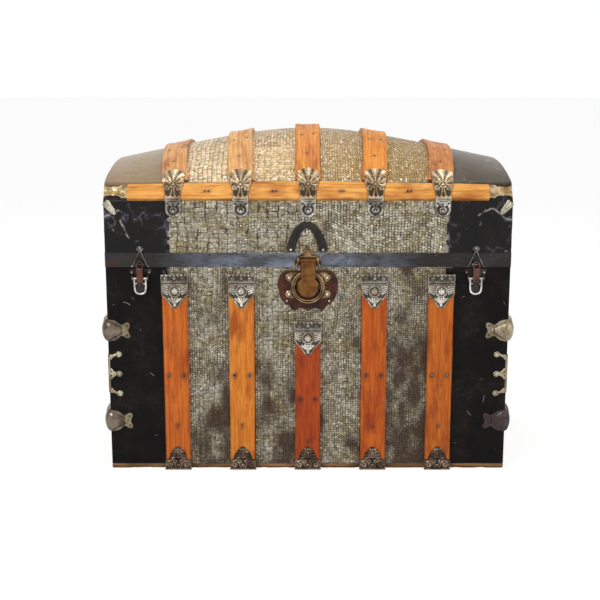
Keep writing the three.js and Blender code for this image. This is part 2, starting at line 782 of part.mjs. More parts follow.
function lidFrame() {
  const wall = [seamHeight, wallTop - seatGap];
  const backDepth = [woodDepth / 2 - boardThickness, woodDepth / 2];
  const back = block([-woodLength / 2, woodLength / 2], backDepth, wall);
  const arch = offsetLine(lidLine(halfLength), domeBoardUnder - seatGap);
  const ends = [
    runX(arch, [-woodLength / 2, boardThickness - woodLength / 2]),
    runX(arch, [woodLength / 2 - boardThickness, woodLength / 2]),
  ];
  return join(longWall(wall), back, ...ends);
}

function domeBoards() {
  const half = woodLength / 2;
  const shell = lidShell([-half, half], [domeBoardUnder, domeBoardTop], [1, lastLineIndex - 1]);
  return cut(shell, block([-halfLength, halfLength], [-halfDepth, halfDepth], [seamHeight, wallTop]));
}

function lidTin(side) {
  const edge = (side * embossedWidth) / 2;
  const outer = side * halfLength;
  const range = [edge, outer].sort((a, b) => a - b);
  const plate = [outer, outer - side * tinThickness].sort((a, b) => a - b);
  return join(lidShell(range, [-tinThickness, 0]), runX(lidLine(halfLength), plate));
}

// The steel valance on the front and ends of the lid, with the plates that are riveted over it
function lidBand() {
  const outer = halfLength + bandThickness;
  const face = front - bandThickness;
  const outside = [[-outer, halfDepth], [-outer, face], [outer, face], [outer, halfDepth]];
  const inside = [1, -1].map((side) => [side * halfLength, front]);
  const [start, end] = [1, -1].map((side) => [side * halfLength, halfDepth]);
  const strip = runZ([...outside, start, ...inside, end], [seamHeight, bandTop]);
  const catches = Object.values(sides).map((side) => latchCatch(side * latchOffset));
  return join(strip, haspPlate(), ...catches);
}

// Points of a front rail's cross-section, from distances up the bevel and out from it
function onBevel(up, out) {
  const [alongY, alongZ] = [bevelRun / bevelLength, bevelRise / bevelLength];
  return [front + up * alongY - out * alongZ, wallTop + up * alongZ + out * alongY];
}

// The line that a clamp's inner face follows over the rail, from the wall up
function clampLine(drop) {
  const out = railThickness;
  return [
    [front - seatGap, wallTop - drop],
    [front - seatGap, wallTop - clampFold],
    onBevel(railInset + clampHold, out),
    onBevel(railInset + railWidth - clampHold, out),
  ];
}

// A palmette clamp holds the end of a dome slat and folds over the rail on to the wall
function palmetteClamp(x) {
  const highSide = Math.max(Math.abs(x) - palmetteWidth / 2, 0);
  const over = offsetLine(lidLine(highSide), domeSlatThickness + 2 * seatGap);
  const [from, to] = [over[bevelTopIndex], over[bevelTopIndex + 1]];
  const tip = from.map((value, axis) => value + (to[axis] - value) * palmetteReachShare);
  const line = clampLine(palmetteTabDrop);
  const range = (width) => [x - width / 2, x + width / 2];
  const tab = bentStrip(line, sheetThickness, range(palmetteTabWidth));
  const fan = bentStrip([...line.slice(2), from, tip], sheetThickness + seatGap, range(palmetteWidth));
  return join(tab, fan);
}

// A clamp past one end of the rail, folded over the bevel and on to the wall
function cornerClamp(side) {
  const range = [railLength / 2 - cornerClampLap, halfLength - cornerClampInset].map((x) => side * x);
  const upTo = railInset + railWidth - clampHold;
  const line = [[front, wallTop - cornerClampDrop], [front, wallTop], onBevel(upTo, 0)];
  return bentStrip(offsetLine(line, 2 * seatGap), sheetThickness, range.sort((a, b) => a - b));
}

function railSection() {
  const outer = seatGap + railThickness;
  const far = railInset + railWidth;
  return [onBevel(railInset, seatGap), onBevel(far, seatGap), onBevel(far, outer), onBevel(railInset, outer)];
}

function lidRail() {
  const wood = runX(railSection(), [-railLength / 2, railLength / 2]);
  const clamps = slatPlaces.map(palmetteClamp);
  return join(wood, ...clamps, ...Object.values(sides).map(cornerClamp));
}

// A dome slat lies square to the ridge's slope, so it leans out where the crown is high
function domeSlat(x) {
  const range = [x - slatWidth / 2, x + slatWidth / 2];
  const ends = [bevelTopIndex, lastLineIndex - bevelTopIndex];
  const lean = (i) => {
    const high = lidLine(x)[i][1] - wallTop - bevelRise;
    return (x * domeSlatLeanShare * (high - domeSlatLeanBase)) / crownRiseMiddle;
  };
  return lidShell(range, [seatGap, seatGap + domeSlatThickness], ends, lean);
}

function lidPieces() {
  const rail = lidRail();
  const half = embossedWidth / 2;
  return [
    part("lid_frame", lidFrame(), "board"),
    part("dome_boards", domeBoards(), "board"),
    part("dome_tin", lidShell([-half, half], [-tinThickness, 0]), "domeTin"),
    part("lid_left_tin", lidTin(sides.left), "blackTin"),
    part("lid_right_tin", lidTin(sides.right), "blackTin"),
    part("lid_band", lidBand(), "band"),
    ...slatPlaces.map((x, i) => part(`dome_slat_${i + 1}`, domeSlat(x), "domeSlat")),
    part("lid_front_rail", rail, "domeSlat"),
    turnedPart("lid_back_rail", rail, "domeSlat"),
    part("lift_loop", liftLoop(), "leather"),
  ];
}

// The leather loop that lifts the lid, round at its foot where it turns
function liftLoop() {
  const outer = loopWidth / 2;
  const inner = outer - strapWidth;
  const bend = loopTop - outer;
  const shape = new THREE.Shape();
  shape.moveTo(loopCentre + outer, loopAxisHeight);
  shape.absarc(loopCentre, bend, outer, 0, Math.PI);
  shape.lineTo(loopCentre - outer, loopAxisHeight);
  shape.lineTo(loopCentre - inner, loopAxisHeight);
  shape.absarc(loopCentre, bend, inner, Math.PI, 0, true);
  shape.lineTo(loopCentre + inner, loopAxisHeight);
  const axis = front - loopAxisReach;
  const strap = frontPlate(shape, axis + strapThickness / 2, strapThickness, discSteps / 2);
  const feet = [-1, 1].map((side) => {
    const range = [loopCentre + side * inner, loopCentre + side * outer].sort((a, b) => a - b);
    return barX(range, axis, loopAxisHeight, strapThickness / 2);
  });
  return join(strap, ...feet);
}

// Hinges on the back: two outer knuckles and the pin on the box, the middle knuckle on the lid
function hingeLeaf(x, onLid) {
  const up = onLid ? 1 : -1;
  const depth = halfDepth + hingeAxisReach;
  const leaf = [halfDepth, halfDepth + hingeLeafThickness];
  const half = hingeWidth / 2;
  const middle = hingeKnuckleLength / 2;
  const span = (reach, other) => [seamHeight + up * reach, seamHeight + up * other].sort((a, b) => a - b);
  const plate = block([x - half, x + half], leaf, span(hingeKnuckleRadius + seatGap, hingeLeafHeight));
  const knuckles = onLid
    ? [[x - middle, x + middle]]
    : [[x - half, x - middle - seatGap], [x + middle + seatGap, x + half]];
  const rolls = knuckles.map((range) =>
    join(
      block(range, leaf, span(0, 2 * hingeKnuckleRadius)),
      barX(range, depth, seamHeight, hingeKnuckleRadius),
    ),
  );
  const body = join(plate, ...rolls);
  return onLid
    ? cut(body, barX([x - half, x + half], depth, seamHeight, hingePinRadius + seatGap))
    : join(body, barX([x - half, x + half], depth, seamHeight, hingePinRadius));
}

function hinges() {
  return Object.entries(sides).flatMap(([name, side]) => [
    part(`hinge_box_leaf_${name}`, hingeLeaf(side * hingeOffset, false), "steel"),
    part(`hinge_lid_leaf_${name}`, hingeLeaf(side * hingeOffset, true), "steel"),
  ]);
}

// The lift-out tray, with three cells and a hand hole in each end
function tray() {
  const halfX = woodLength / 2 - boardThickness - traySideGap;
  const halfY = woodDepth / 2 - boardThickness - traySideGap;
  const body = block([-halfX, halfX], [-halfY, halfY], [cleatTop, trayTop]);
  const inner = halfX - trayWall / 2;
  const walls = trayCellShares.map((share) => inner * (2 * share - 1));
  const cells = walls.slice(1).map((x, i) =>
    block([walls[i] + trayWall / 2, x - trayWall / 2], [trayWall - halfY, halfY - trayWall],
      [cleatTop + trayFloor, trayTop + overrun]),
  );
  const gripTop = trayTop - trayGripDrop;
  const grips = [-1, 1].map((side) =>
    block([side * (halfX + overrun), side * (halfX - trayWall - overrun)],
      [-trayGripWidth / 2, trayGripWidth / 2], [gripTop - trayGripHeight, gripTop]),
  );
  return cut(body, ...cells, ...grips);
}

const trunk = new THREE.Group();
trunk.add(
  ...boxBoards(),
  ...boxTins(),
  ...uprightSlats(),
  ...endTrim(),
  ...lockAndLatches(),
  part("handle_left", handleLine(sides.left, 0), "leather"),
  part("handle_right", handleLine(sides.right, 0), "leather"),
  ...hinges(),
  part("tray", tray(), "board"),
  ...lidPieces(),
);

export default trunk;
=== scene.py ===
"""Looks of the dome top trunk: hide-embossed tin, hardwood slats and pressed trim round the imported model.

Lengths are millimetres, as in the part's source, and become metres where a mesh is made.
On a strip or plate, a runs across it, s along it and b out from what it lies on.
"""

from math import atan2, cos, hypot, pi, radians, sin

import bmesh
import bpy
import numpy as np
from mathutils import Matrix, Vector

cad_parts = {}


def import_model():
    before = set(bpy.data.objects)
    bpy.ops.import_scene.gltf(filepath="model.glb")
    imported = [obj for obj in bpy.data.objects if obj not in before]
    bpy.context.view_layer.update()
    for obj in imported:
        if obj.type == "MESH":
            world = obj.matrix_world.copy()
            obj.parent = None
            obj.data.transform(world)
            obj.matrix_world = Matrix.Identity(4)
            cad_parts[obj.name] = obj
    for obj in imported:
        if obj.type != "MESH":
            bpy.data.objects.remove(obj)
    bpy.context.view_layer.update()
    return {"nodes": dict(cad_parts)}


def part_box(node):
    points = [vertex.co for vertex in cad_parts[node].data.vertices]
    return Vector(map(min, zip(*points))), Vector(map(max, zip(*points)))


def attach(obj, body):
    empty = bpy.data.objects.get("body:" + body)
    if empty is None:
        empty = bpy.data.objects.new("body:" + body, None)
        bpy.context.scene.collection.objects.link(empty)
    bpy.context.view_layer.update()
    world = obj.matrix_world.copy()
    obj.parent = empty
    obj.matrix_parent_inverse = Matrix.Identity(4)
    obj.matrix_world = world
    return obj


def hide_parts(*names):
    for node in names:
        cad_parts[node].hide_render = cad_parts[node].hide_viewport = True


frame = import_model()

MM = 0.001


def box_of(node):
    """Lowest and highest corner of a CAD node in millimetres."""
    low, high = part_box(node)
    return np.array(low) / MM, np.array(high) / MM


# Sizes taken from the frame
tin_high = box_of("box_front_tin")[1]
embossed_half, seam_height = tin_high[0], tin_high[2]
half_length, half_depth, board_top = box_of("bottom_board")[1]
front = -half_depth
slat_places = [sum(corner[0] for corner in box_of(f"front_slat_{i}")) / 2 for i in range(1, 6)]
slat_pitch = slat_places[1] - slat_places[0]

# Sizes that the lid's round forms follow
lid_wall = 124.0
bevel_run = 22.0
bevel_rise = 33.5
crown_middle = 90.5
crown_end = 29.5
crown_slope_share = 0.23
slat_lean_share = 0.087
slat_lean_base = 12.0
wall_top = seam_height + lid_wall
bevel_length = hypot(bevel_run, bevel_rise)

# Slats, rails and trim
slat_width = 48.0
slat_thickness = 9.0
dome_slat_thickness = 8.0
clamp_rise = 5.0
rail_half = 336.0
rail_width = 38.0
rail_inset = 1.0
seat_gap = 0.3
tin = 0.8
sheet_metal = 1.2


def shade(red, green, blue):
    """A linear colour from an ordinary one of 0 to 255."""
    shares = [min(c, 255) / 255 for c in (red, green, blue)]
    return (*[c / 12.92 if c <= 0.04 else ((c + 0.055) / 1.055) ** 2.4 for c in shares], 1.0)


# Fixed noise

def scatter(i, j, seed):
    """The same random number from 0 to 1 for a lattice cell each time."""
    value = np.sin(i * 127.1 + j * 311.7 + seed * 74.7) * 43758.5453
    return value - np.floor(value)


def noise(u, v, seed):
    """Smooth noise from -1 to 1 that changes over about one unit."""
    i, j = np.floor(u), np.floor(v)
    a, b = u - i, v - j
    a, b = a * a * (3 - 2 * a), b * b * (3 - 2 * b)
    low = scatter(i, j, seed) * (1 - a) + scatter(i + 1, j, seed) * a
    high = scatter(i, j + 1, seed) * (1 - a) + scatter(i + 1, j + 1, seed) * a
    return 2 * (low * (1 - b) + high * b) - 1


def rough(u, v, seed, octaves=3):
    """Noise with finer noise on it."""
    return sum(noise(u * 2**k, v * 2**k, seed + k) / 2**k for k in range(octaves)) / 1.75


def step(low, high, value):
    """0 below low, 1 above high and smooth between."""
    t = np.clip((value - low) / (high - low), 0, 1)
    return t * t * (3 - 2 * t)


def hump(value, width, rise=1.0):
    """A rounded hump where the value is 0."""
    return rise * np.exp(-((value / width) ** 2))


def cell_number(i, j):
    """The same number from 0 to 1 for a cell each time, simple enough for a material to work out too."""
    value = 17 * np.sin(1.37 * i + 2.91 * j)
    return value - np.floor(value)


def pillows(p, q):
    """Relief from 0 to 1 of a hide's cells, from places counted in cells; each column's rows are shifted."""
    column = np.floor(p)
    q = q + 0.6 * cell_number(column, 3.0)
    row = np.floor(q)
    across, along = np.abs(2 * (p - column) - 1), np.abs(2 * (q - row) - 1)
    return (1 - across**5) * (1 - along**5) * (0.7 + 0.3 * cell_number(column, row))


# The lid's surface

def crown_rise(x):
    """The ridge's height over the bevels: straight falls to the ends, rounded in the middle."""
    sag = crown_middle - crown_end
    blunt = ((crown_slope_share * half_length) ** 2 - sag**2) / (2 * sag)
    return crown_middle + blunt - np.hypot(blunt, crown_slope_share * x)


def crown_arc(x):
    """Rise, radius and half angle of the crown's arc across the trunk."""
    reach = half_depth - bevel_run
    rise = crown_rise(x)
    radius = (reach**2 + rise**2) / (2 * rise)
    return rise, radius, np.arcsin(reach / radius)


def on_lid(x, t, out):
    """A point over the lid: t climbs a unit for each of wall, bevel, crown, bevel and wall, front to back."""
    x, t, out = np.broadcast_arrays(np.asarray(x, float), t, out)
    side = np.where(t <= 2.5, -1, 1)
    w = np.where(t <= 2.5, t, 5 - t)
    rise, radius, turn = crown_arc(x)
    angle = turn * (5 - 2 * w)
    f = w - 1
    crown_y = radius * np.sin(angle)
    crown_z = wall_top + bevel_rise + rise + radius * (np.cos(angle) - 1)
    y = np.where(w <= 1, half_depth, np.where(w <= 2, half_depth - f * bevel_run, crown_y))
    z = np.where(w <= 1, seam_height + w * lid_wall, np.where(w <= 2, wall_top + f * bevel_rise, crown_z))
    bevel_lean = atan2(bevel_run, bevel_rise)
    fold = 0.03
    lean = bevel_lean * step(1 - fold, 1 + fold, w)
    crown_lean = pi / 2 - angle
    lean = np.where(w <= 2 - fold, lean, bevel_lean + (crown_lean - bevel_lean) * step(2 - fold, 2 + fold, w))
    y = y + out * np.cos(lean)
    z = z + out * np.sin(lean)
    return np.stack([x, side * y, z], axis=-1)


def lid_distance(x, t):
    """Distance up the front wall, over the bevel and along the crown."""
    _, radius, turn = crown_arc(x)
    w = np.minimum(t, 5 - t)
    crown = radius * turn * 2 * np.maximum(w - 2, 0)
    half = lid_wall + bevel_length + radius * turn
    along = lid_wall * np.minimum(w, 1) + bevel_length * np.clip(w - 1, 0, 1) + crown
    return np.where(t <= 2.5, along, 2 * half - along)


def climb(*steps):
    """Values of t from seam to seam, from the number of steps in each of the lid's five stretches."""
    runs = [start + np.arange(count) / count for start, count in enumerate(steps)]
    return np.concatenate([*runs, [5.0]])


def on_bevel(up, out):
    """Points over the front bevel, from the distance up it and out from it."""
    along_y, along_z = bevel_run / bevel_length, bevel_rise / bevel_length
    return front + up * along_y - out * along_z, wall_top + up * along_z + out * along_y


# Meshes

def grid_faces(at):
    return np.stack([at[:-1, :-1], at[1:, :-1], at[1:, 1:], at[:-1, 1:]], axis=-1).reshape(-1, 4).tolist()


def shell(outer, inner, stride=1):
    """Points and faces of a closed sheet between two grids; the inner one keeps every stride-th line."""
    under_points = inner[::stride, ::stride]
    count = outer.shape[0] * outer.shape[1]
    at = np.arange(count).reshape(outer.shape[:2])
    under = count + np.arange(under_points.shape[0] * under_points.shape[1]).reshape(under_points.shape[:2])
    faces = grid_faces(at) + grid_faces(under[::-1])
    sides = (
        (at[:, 0], under[:, 0]),
        (at[-1, :], under[-1, :]),
        (at[::-1, -1], under[::-1, -1]),
        (at[0, ::-1], under[0, ::-1]),
    )
    for fine, coarse in sides:
        for k in range(len(coarse) - 1):
            run = fine[k * stride:(k + 1) * stride + 1].tolist()
            faces.append([*run, int(coarse[k + 1]), int(coarse[k])])
    return np.concatenate([outer.reshape(-1, 3), under_points.reshape(-1, 3)]), faces


def loft(rings, close=False):
    """Points and faces of a closed body through rings of points; open ends are capped."""
    at = np.arange(rings.shape[0] * rings.shape[1]).reshape(rings.shape[:2])
    wrapped = np.column_stack([at, at[:, :1]])
    if close:
        wrapped = np.vstack([wrapped, wrapped[:1]])
    faces = grid_faces(wrapped)
    if not close:
        faces += [at[0].tolist(), at[-1][::-1].tolist()]
    return rings.reshape(-1, 3), faces


def merge(parts):
    """Several bodies' points and faces as one."""
    points, faces, start = [], [], 0
    for some, their_faces in parts:
        points.append(some)
        faces += [[start + i for i in face] for face in their_faces]
        start += len(some)
    return np.concatenate(points), faces


def put(name, data):
    """A new object in the scene."""
    thing = bpy.data.objects.new(name, data)
    bpy.context.scene.collection.objects.link(thing)
    return thing


def piece(name, body, slot, finish, shape, replaces=(), sharp=40, **attributes):
    """A closed mesh that rides on a body, with values at its points for its material."""
    points, faces = shape
    mesh = bpy.data.meshes.new(name)
    mesh.from_pydata((np.asarray(points) * MM).tolist(), [], faces)
    build = bmesh.new()
    build.from_mesh(mesh)
    bmesh.ops.recalc_face_normals(build, faces=build.faces)
    build.to_mesh(mesh)
    build.free()
    for key, values in attributes.items():
        values = np.asarray(values, np.float32)
        spare = len(mesh.vertices) - len(values)
        kind, field = ("FLOAT_VECTOR", "vector") if values.ndim == 2 else ("FLOAT", "value")
        if spare:
            values = np.concatenate([values, np.zeros((spare, *values.shape[1:]), np.float32)])
        mesh.attributes.new(key, kind, "POINT").data.foreach_set(field, values.ravel())
    mesh.shade_smooth()
    mesh.set_sharp_from_angle(angle=radians(sharp))
    mesh.materials.append(finish)
    thing = put(name, mesh)
    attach(thing, body)
    if replaces:
        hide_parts(*replaces)


def tube(path, radius, sides, close=False, flat=1.0, out=None):
    """A round wire along a path of points, or one flattened along out; its radius may vary along it."""
    path = np.asarray(path, float)
    ahead = np.roll(path, -1, 0) - np.roll(path, 1, 0)
    if not close:
        ahead[0], ahead[-1] = path[1] - path[0], path[-1] - path[-2]
    ahead /= np.linalg.norm(ahead, axis=1)[:, None]
    if out is None:
        out = (0.0, 1.0, 0.0) if abs(ahead[0][1]) < 0.9 else (0.0, 0.0, 1.0)
    out = np.array(out, float)
    angles = np.arange(sides) * 2 * pi / sides
    rings = []
    for point, way, size in zip(path, ahead, np.broadcast_to(radius, len(path))):
        out = out - way * (out @ way)
        out /= np.linalg.norm(out)
        across = np.cross(way, out)
        rings.append([point + size * (cos(g) * across + flat * sin(g) * out) for g in angles])
    return loft(np.array(rings), close)


def smooth_path(points, steps=6, close=False):
    """A rounded path through a few points."""
    points = np.asarray(points, float)
    if close:
        padded = np.vstack([points[-1], points, points[0], points[1]])
    else:
        padded = np.vstack([2 * points[0] - points[1], points, 2 * points[-1] - points[-2]])
    t = np.arange(steps)[:, None] / steps
    path = []
    for p0, p1, p2, p3 in zip(padded, padded[1:], padded[2:], padded[3:]):
        path.append(
            0.5 * (2 * p1 + (p2 - p0) * t + (2 * p0 - 5 * p1 + 4 * p2 - p3) * t**2
                   + (3 * p1 - p0 - 3 * p2 + p3) * t**3)
        )
    if not close:
        path.append(points[-1][None])
    return np.concatenate(path)


# Places: each turns a, s and b into a point of the trunk

def stack(x, y, z):
    return np.stack(np.broadcast_arrays(np.asarray(x, float), y, z), axis=-1)


def on_front(x, base=0.0):
    return lambda a, s, b: stack(x + a, front - base - b, s)


def turned(place):
    """The same place on the back of the trunk."""
    return lambda a, s, b: place(a, s, b) * np.array([-1, -1, 1])


def along_bevel(a, s, b):
    """A rail's place: s along the trunk and a up the bevel from the rail's middle."""
    y, z = on_bevel(rail_inset + rail_width / 2 + a, b + seat_gap)
    return stack(s, y, z)


def over_dome(x, base=0.0):
    """A slat's place over the crown, leaning out with its height: s runs from bevel to bevel."""
    rise, radius, turn = crown_arc(x)
    length = 2 * radius * turn

    def place(a, s, b):
        high = rise + radius * (np.cos(turn * (1 - 2 * s / length)) - 1)
        at = x * (1 + slat_lean_share * (high - slat_lean_base) / crown_middle)
        return on_lid(at + a, 2 + s / length, b + base)
    return place


def on_end(side, height, base=0.0):
    """A place on an end of the box: s runs along the trunk's depth and a up from a height."""
    return lambda a, s, b: stack(side * (half_length + base + b), s, height + a)


def along_line(line, x):
    """A place over a folded line of points in Y and Z, with s the distance along it."""
    line = np.asarray(line, float)
    run = np.concatenate([[0], np.cumsum(np.hypot(*np.diff(line, axis=0).T))])
    fold = 2.0
    marks = np.sort(np.concatenate([run[:1], run[1:-1] - fold, run[1:-1] + fold, run[-1:]]))
    ways = np.diff(line, axis=0) / np.diff(run)[:, None]
    outs = np.repeat(np.column_stack([-ways[:, 1], ways[:, 0]]), 2, axis=0)

    def place(a, s, b):
        y = np.interp(s, run, line[:, 0]) + b * np.interp(s, marks, outs[:, 0])
        z = np.interp(s, run, line[:, 1]) + b * np.interp(s, marks, outs[:, 1])
        return stack(x + a, y, z)
    return place


# Relief, as heights in millimetres over a plate

def ridge(a, s, path, width, rise):
    """A rounded ridge along a path of points on a plate."""
    path = np.asarray(path, float)
    best = np.full(np.shape(a + s), 1e9)
    for (a0, s0), (a1, s1) in zip(path, path[1:]):
        length = max((a1 - a0) ** 2 + (s1 - s0) ** 2, 1e-9)
        f = np.clip(((a - a0) * (a1 - a0) + (s - s0) * (s1 - s0)) / length, 0, 1)
        best = np.minimum(best, np.hypot(a - a0 - f * (a1 - a0), s - s0 - f * (s1 - s0)))
    return hump(best, width, rise)


def boss(a, s, at, radius, rise):
    away = np.hypot(a - at[0], s - at[1]) / radius
    return rise * np.sqrt(np.maximum(1 - away**2, 0))


def ring(a, s, at, radius, width, rise):
    return hump(np.hypot(a - at[0], s - at[1]) - radius, width, rise)


def most(*heights):
    return np.maximum.reduce(heights)


def press(a, s, *shapes):
    """The highest of several shapes, each given by its function and what that takes after a and s."""
    return most(*[shape(a, s, *values) for shape, *values in shapes])


def rim(half_width, a, s, inward, width, rise):
    """A rounded hem along both edges of a plate."""
    return hump(half_width(s) - np.abs(a) - inward, width, rise)


def scroll(at, radius, start, turns):
    """A spiral that winds in to its middle."""
    f = np.linspace(0, 1, 22)
    angle = radians(start) - f * turns * 2 * pi
    size = radius * (1 - 0.85 * f)
    return np.column_stack([at[0] + size * np.cos(angle), at[1] + size * np.sin(angle)])


# Finishes

class Finish:
    """A Principled material, with short ways to add the nodes that vary it.

    Colours are ordinary ones of 0 to 255 or the outputs of nodes.
    """

    def __init__(self, name, metallic, specular=0.5):
        self.material = bpy.data.materials.new(name)
        self.material.use_nodes = True
        self.tree = self.material.node_tree
        self.shader = self.tree.nodes["Principled BSDF"]
        self.shader.inputs["Metallic"].default_value = metallic
        self.shader.inputs["Specular IOR Level"].default_value = specular
        self.colour = None

    def add(self, kind, output, settings=None, **inputs):
        node = self.tree.nodes.new("ShaderNode" + kind)
        for key, value in (settings or {}).items():
            setattr(node, key, value)
        for key, value in inputs.items():
            self.feed(node.inputs[key], value)
        return node.outputs[output]

    def feed(self, socket, value):
        if isinstance(value, bpy.types.NodeSocket):
            self.tree.links.new(value, socket)
        else:
            socket.default_value = value

    def value(self, name):
        """A value that the mesh holds at its points."""
        return self.add("Attribute", "Fac", {"attribute_name": name})

    def vector(self, name=None):
        """The mesh's own vectors of that name, or the place on the trunk in metres."""
        if name:
            return self.add("Attribute", "Vector", {"attribute_name": name})
        return self.add("TexCoord", "Object")

    def axis(self, name, vector=None):
        """One part of a vector, or of the place on the trunk in metres."""
        return self.add("SeparateXYZ", name, Vector=vector or self.vector())

    def noise(self, vector, size, detail=3, stretch=(1, 1, 1), roughness=0.55):
        """Noise whose features are about size millimetres, longer where stretch is more."""
        scale = tuple(1 / (size * MM * k) for k in stretch)
        scaled = self.add("Mapping", "Vector", Vector=vector, Scale=scale)
        return self.add("TexNoise", "Fac", Vector=scaled, Scale=1.0, Detail=detail, Roughness=roughness)

    def level(self, value, low, high, to_low=0.0, to_high=1.0):
        """A value brought from one range to another and kept inside that one."""
        ranges = {"From Min": low, "From Max": high, "To Min": to_low, "To Max": to_high}
        return self.add("MapRange", "Result", {"clamp": True}, Value=value, **ranges)

    def math(self, operation, first, second=0.0):
        node = self.tree.nodes.new("ShaderNodeMath")
        node.operation = operation
        self.feed(node.inputs[0], first)
        self.feed(node.inputs[1], second)
        return node.outputs[0]

    def times(self, first, second):
        return self.math("MULTIPLY", first, second)

    def plus(self, first, second):
        return self.math("ADD", first, second)

    def off(self, value, middle):
        """How far a value is from a middle one."""
        return self.math("ABSOLUTE", self.math("SUBTRACT", value, middle))

    def mix(self, factor, first, second):
        first, second = (shade(*c) if isinstance(c, tuple) else c for c in (first, second))
        return self.add("MixRGB", "Color", Fac=factor, Color1=first, Color2=second)

    def cover(self, colour, value, low=0.0, high=1.0, share=1.0):
        """Lays a colour over the finish: none where the value is low and that share where it is high."""
        self.colour = self.mix(self.level(value, low, high, 0, share), self.colour, colour)

    def bump(self, height, distance, strength):
        """Bumps about distance millimetres high."""
        normal = self.add("Bump", "Normal", Strength=strength, Distance=distance * MM, Height=height)
        self.feed(self.shader.inputs["Normal"], normal)

    def done(self, roughness):
        self.feed(self.shader.inputs["Base Color"], self.colour)
        self.feed(self.shader.inputs["Roughness"], roughness)
        return self.material

    def cell_number(self, i, j):
        """A cell's own number, as the mesh's relief has it."""
        mixed = self.plus(self.times(i, 1.37), self.times(j, 2.91))
        return self.math("FRACT", self.times(self.math("SINE", mixed), 17.0))

    def cells(self, name, crease_share):
        """Crease, tone, glint and distance from the edge in a hide's cells, where the mesh counts them; the
        crease and glint steer painted shade and painted glints.
        """
        p, q = (self.axis(part, self.vector(name)) for part in "XY")
        column = self.math("FLOOR", p)
        q = self.plus(q, self.times(self.cell_number(column, 3.0), 0.6))
        row = self.math("FLOOR", q)
        near = self.math("MINIMUM", *[
            self.math("SUBTRACT", 0.5, self.off(self.math("FRACT", value), 0.5)) for value in (p, q)
        ])
        crease = self.level(near, crease_share * 0.35, crease_share, 1.0, 0.0)
        return crease, self.cell_number(column, row), self.cell_number(row, self.plus(column, 7.0)), near


def wood(name, red, green, blue):
    """Hardwood of one colour with long grain, streaks, blotches, and stains where the mesh says."""
    look = Finish(name, 0.0, 0.2)
    light = (red * 1.14, green * 1.24, blue * 1.4)
    middle = (red * 0.97, green * 0.93, blue * 0.8)
    dark = (red * 0.72, green * 0.53, blue * 0.42)
    grain = look.vector("grain")
    streaks = look.noise(grain, 4, 5, (1, 1, 30))
    fine = look.noise(grain, 0.9, 3, (1, 1, 36))
    look.colour = look.mix(look.level(streaks, 0.36, 0.66), light, middle)
    look.cover(dark, look.noise(grain, 34, 3, (0.7, 1, 2.4)), 0.48, 0.68, 0.75)
    look.cover(dark, fine, 0.48, 0.7, 0.65)
    look.cover(light, look.noise(grain, 13, 4, (1, 1, 3)), 0.54, 0.68, 0.6)
    look.cover((30, 14, 8), look.value("stain"))
    look.bump(look.plus(fine, streaks), 0.2, 0.5)
    return look.done(look.level(streaks, 0.3, 0.7, 0.36, 0.55))


def relief_metal(name, bright, tint, crease, metallic=0.75, low=0.22, high=0.46, grime=0.45, specular=0.5):
    """Pressed metal, bright on its high places, with painted shade dark in the creases that the mesh marks.
    """
    look = Finish(name, metallic, specular)
    place = look.vector()
    patch = look.noise(place, 20, 4)
    speck = look.noise(place, 2.2, 4)
    look.colour = look.mix(look.level(patch, 0.42, 0.6), bright, tint)
    look.cover(crease, speck, 0.54, 0.7, grime)
    # Painted shade in the low places of the relief.
    look.cover(crease, look.value("crease"))
    look.bump(speck, 0.25, 0.45)
    return look.done(look.level(patch, 0.35, 0.65, low, high))


def embossed(name):
    """Tin pressed like a hide: cells of varied tone with painted glints, brown creases deepened with painted
    shade, stains low down and a crown painted a warm yellow as light from above.
    """
    look = Finish(name, 0.45, 0.4)
    place = look.vector()
    gold = look.value("gold")
    wide, fine = look.cells("wide_cell", 0.1), look.cells("fine_cell", 0.2)
    speck = look.level(look.noise(place, 2.6, 4), 0, 1, -0.25, 0.25)
    choice = look.level(look.plus(look.value("wide"), speck), 0.42, 0.58)
    other = look.math("SUBTRACT", 1.0, choice)
    crease, tone, glint, near = [
        look.plus(look.times(big, choice), look.times(small, other)) for big, small in zip(wide, fine)
    ]
    crease = look.math("MAXIMUM", crease, look.times(fine[0], look.level(gold, 0, 1, 0.55, 0)))
    tone = look.times(look.plus(tone, fine[1]), 0.5)
    glint = look.times(look.plus(glint, fine[2]), 0.5)
    grit = look.noise(place, 3.8, 3, roughness=0.8)
    patch = look.level(look.noise(place, 45, 4), 0.4, 0.62)
    plain = look.mix(patch, (208, 202, 180), (172, 158, 120))
    # Painted light from above: the crown takes a warm yellow tone, paler to the left, while the walls of the
    # same tin keep the plain grey.
    warm = look.mix(look.level(look.axis("X"), -0.2, 0.13), (255, 224, 178), (176, 141, 72))
    look.colour = look.mix(gold, plain, warm)
    look.cover(look.mix(gold, (88, 74, 46), (126, 104, 66)), tone, 0.9, 0.1, 0.6)
    soil = look.mix(gold, (52, 38, 24), (128, 100, 62))
    look.cover(soil, look.noise(place, 9, 4, roughness=0.7), 0.5, 0.66, 0.6)
    look.cover(soil, grit, 0.52, 0.66, 0.7)
    # Painted glints: near white on some cells, as highlights.
    bright = look.times(look.level(glint, 0.5, 0.85), look.level(grit, 0.5, 0.36))
    look.cover((250, 248, 238), bright, share=0.95)
    look.cover((58, 35, 16), look.value("dirt"))
    # Painted shade darkens the creases between cells, less on the crown.
    strength = look.level(look.noise(place, 11), 0.36, 0.58, 0.3, 1.0)
    strength = look.times(strength, look.level(gold, 0, 1, 1, 0.65))
    look.cover((30, 21, 13), look.times(crease, strength))
    height = look.plus(look.level(near, 0.0, 0.3), look.times(tone, 0.5))
    look.bump(look.plus(height, look.times(grit, 0.9)), 0.6, 0.85)
    return look.done(look.level(bright, 0.1, 0.7, 0.46, 0.24))


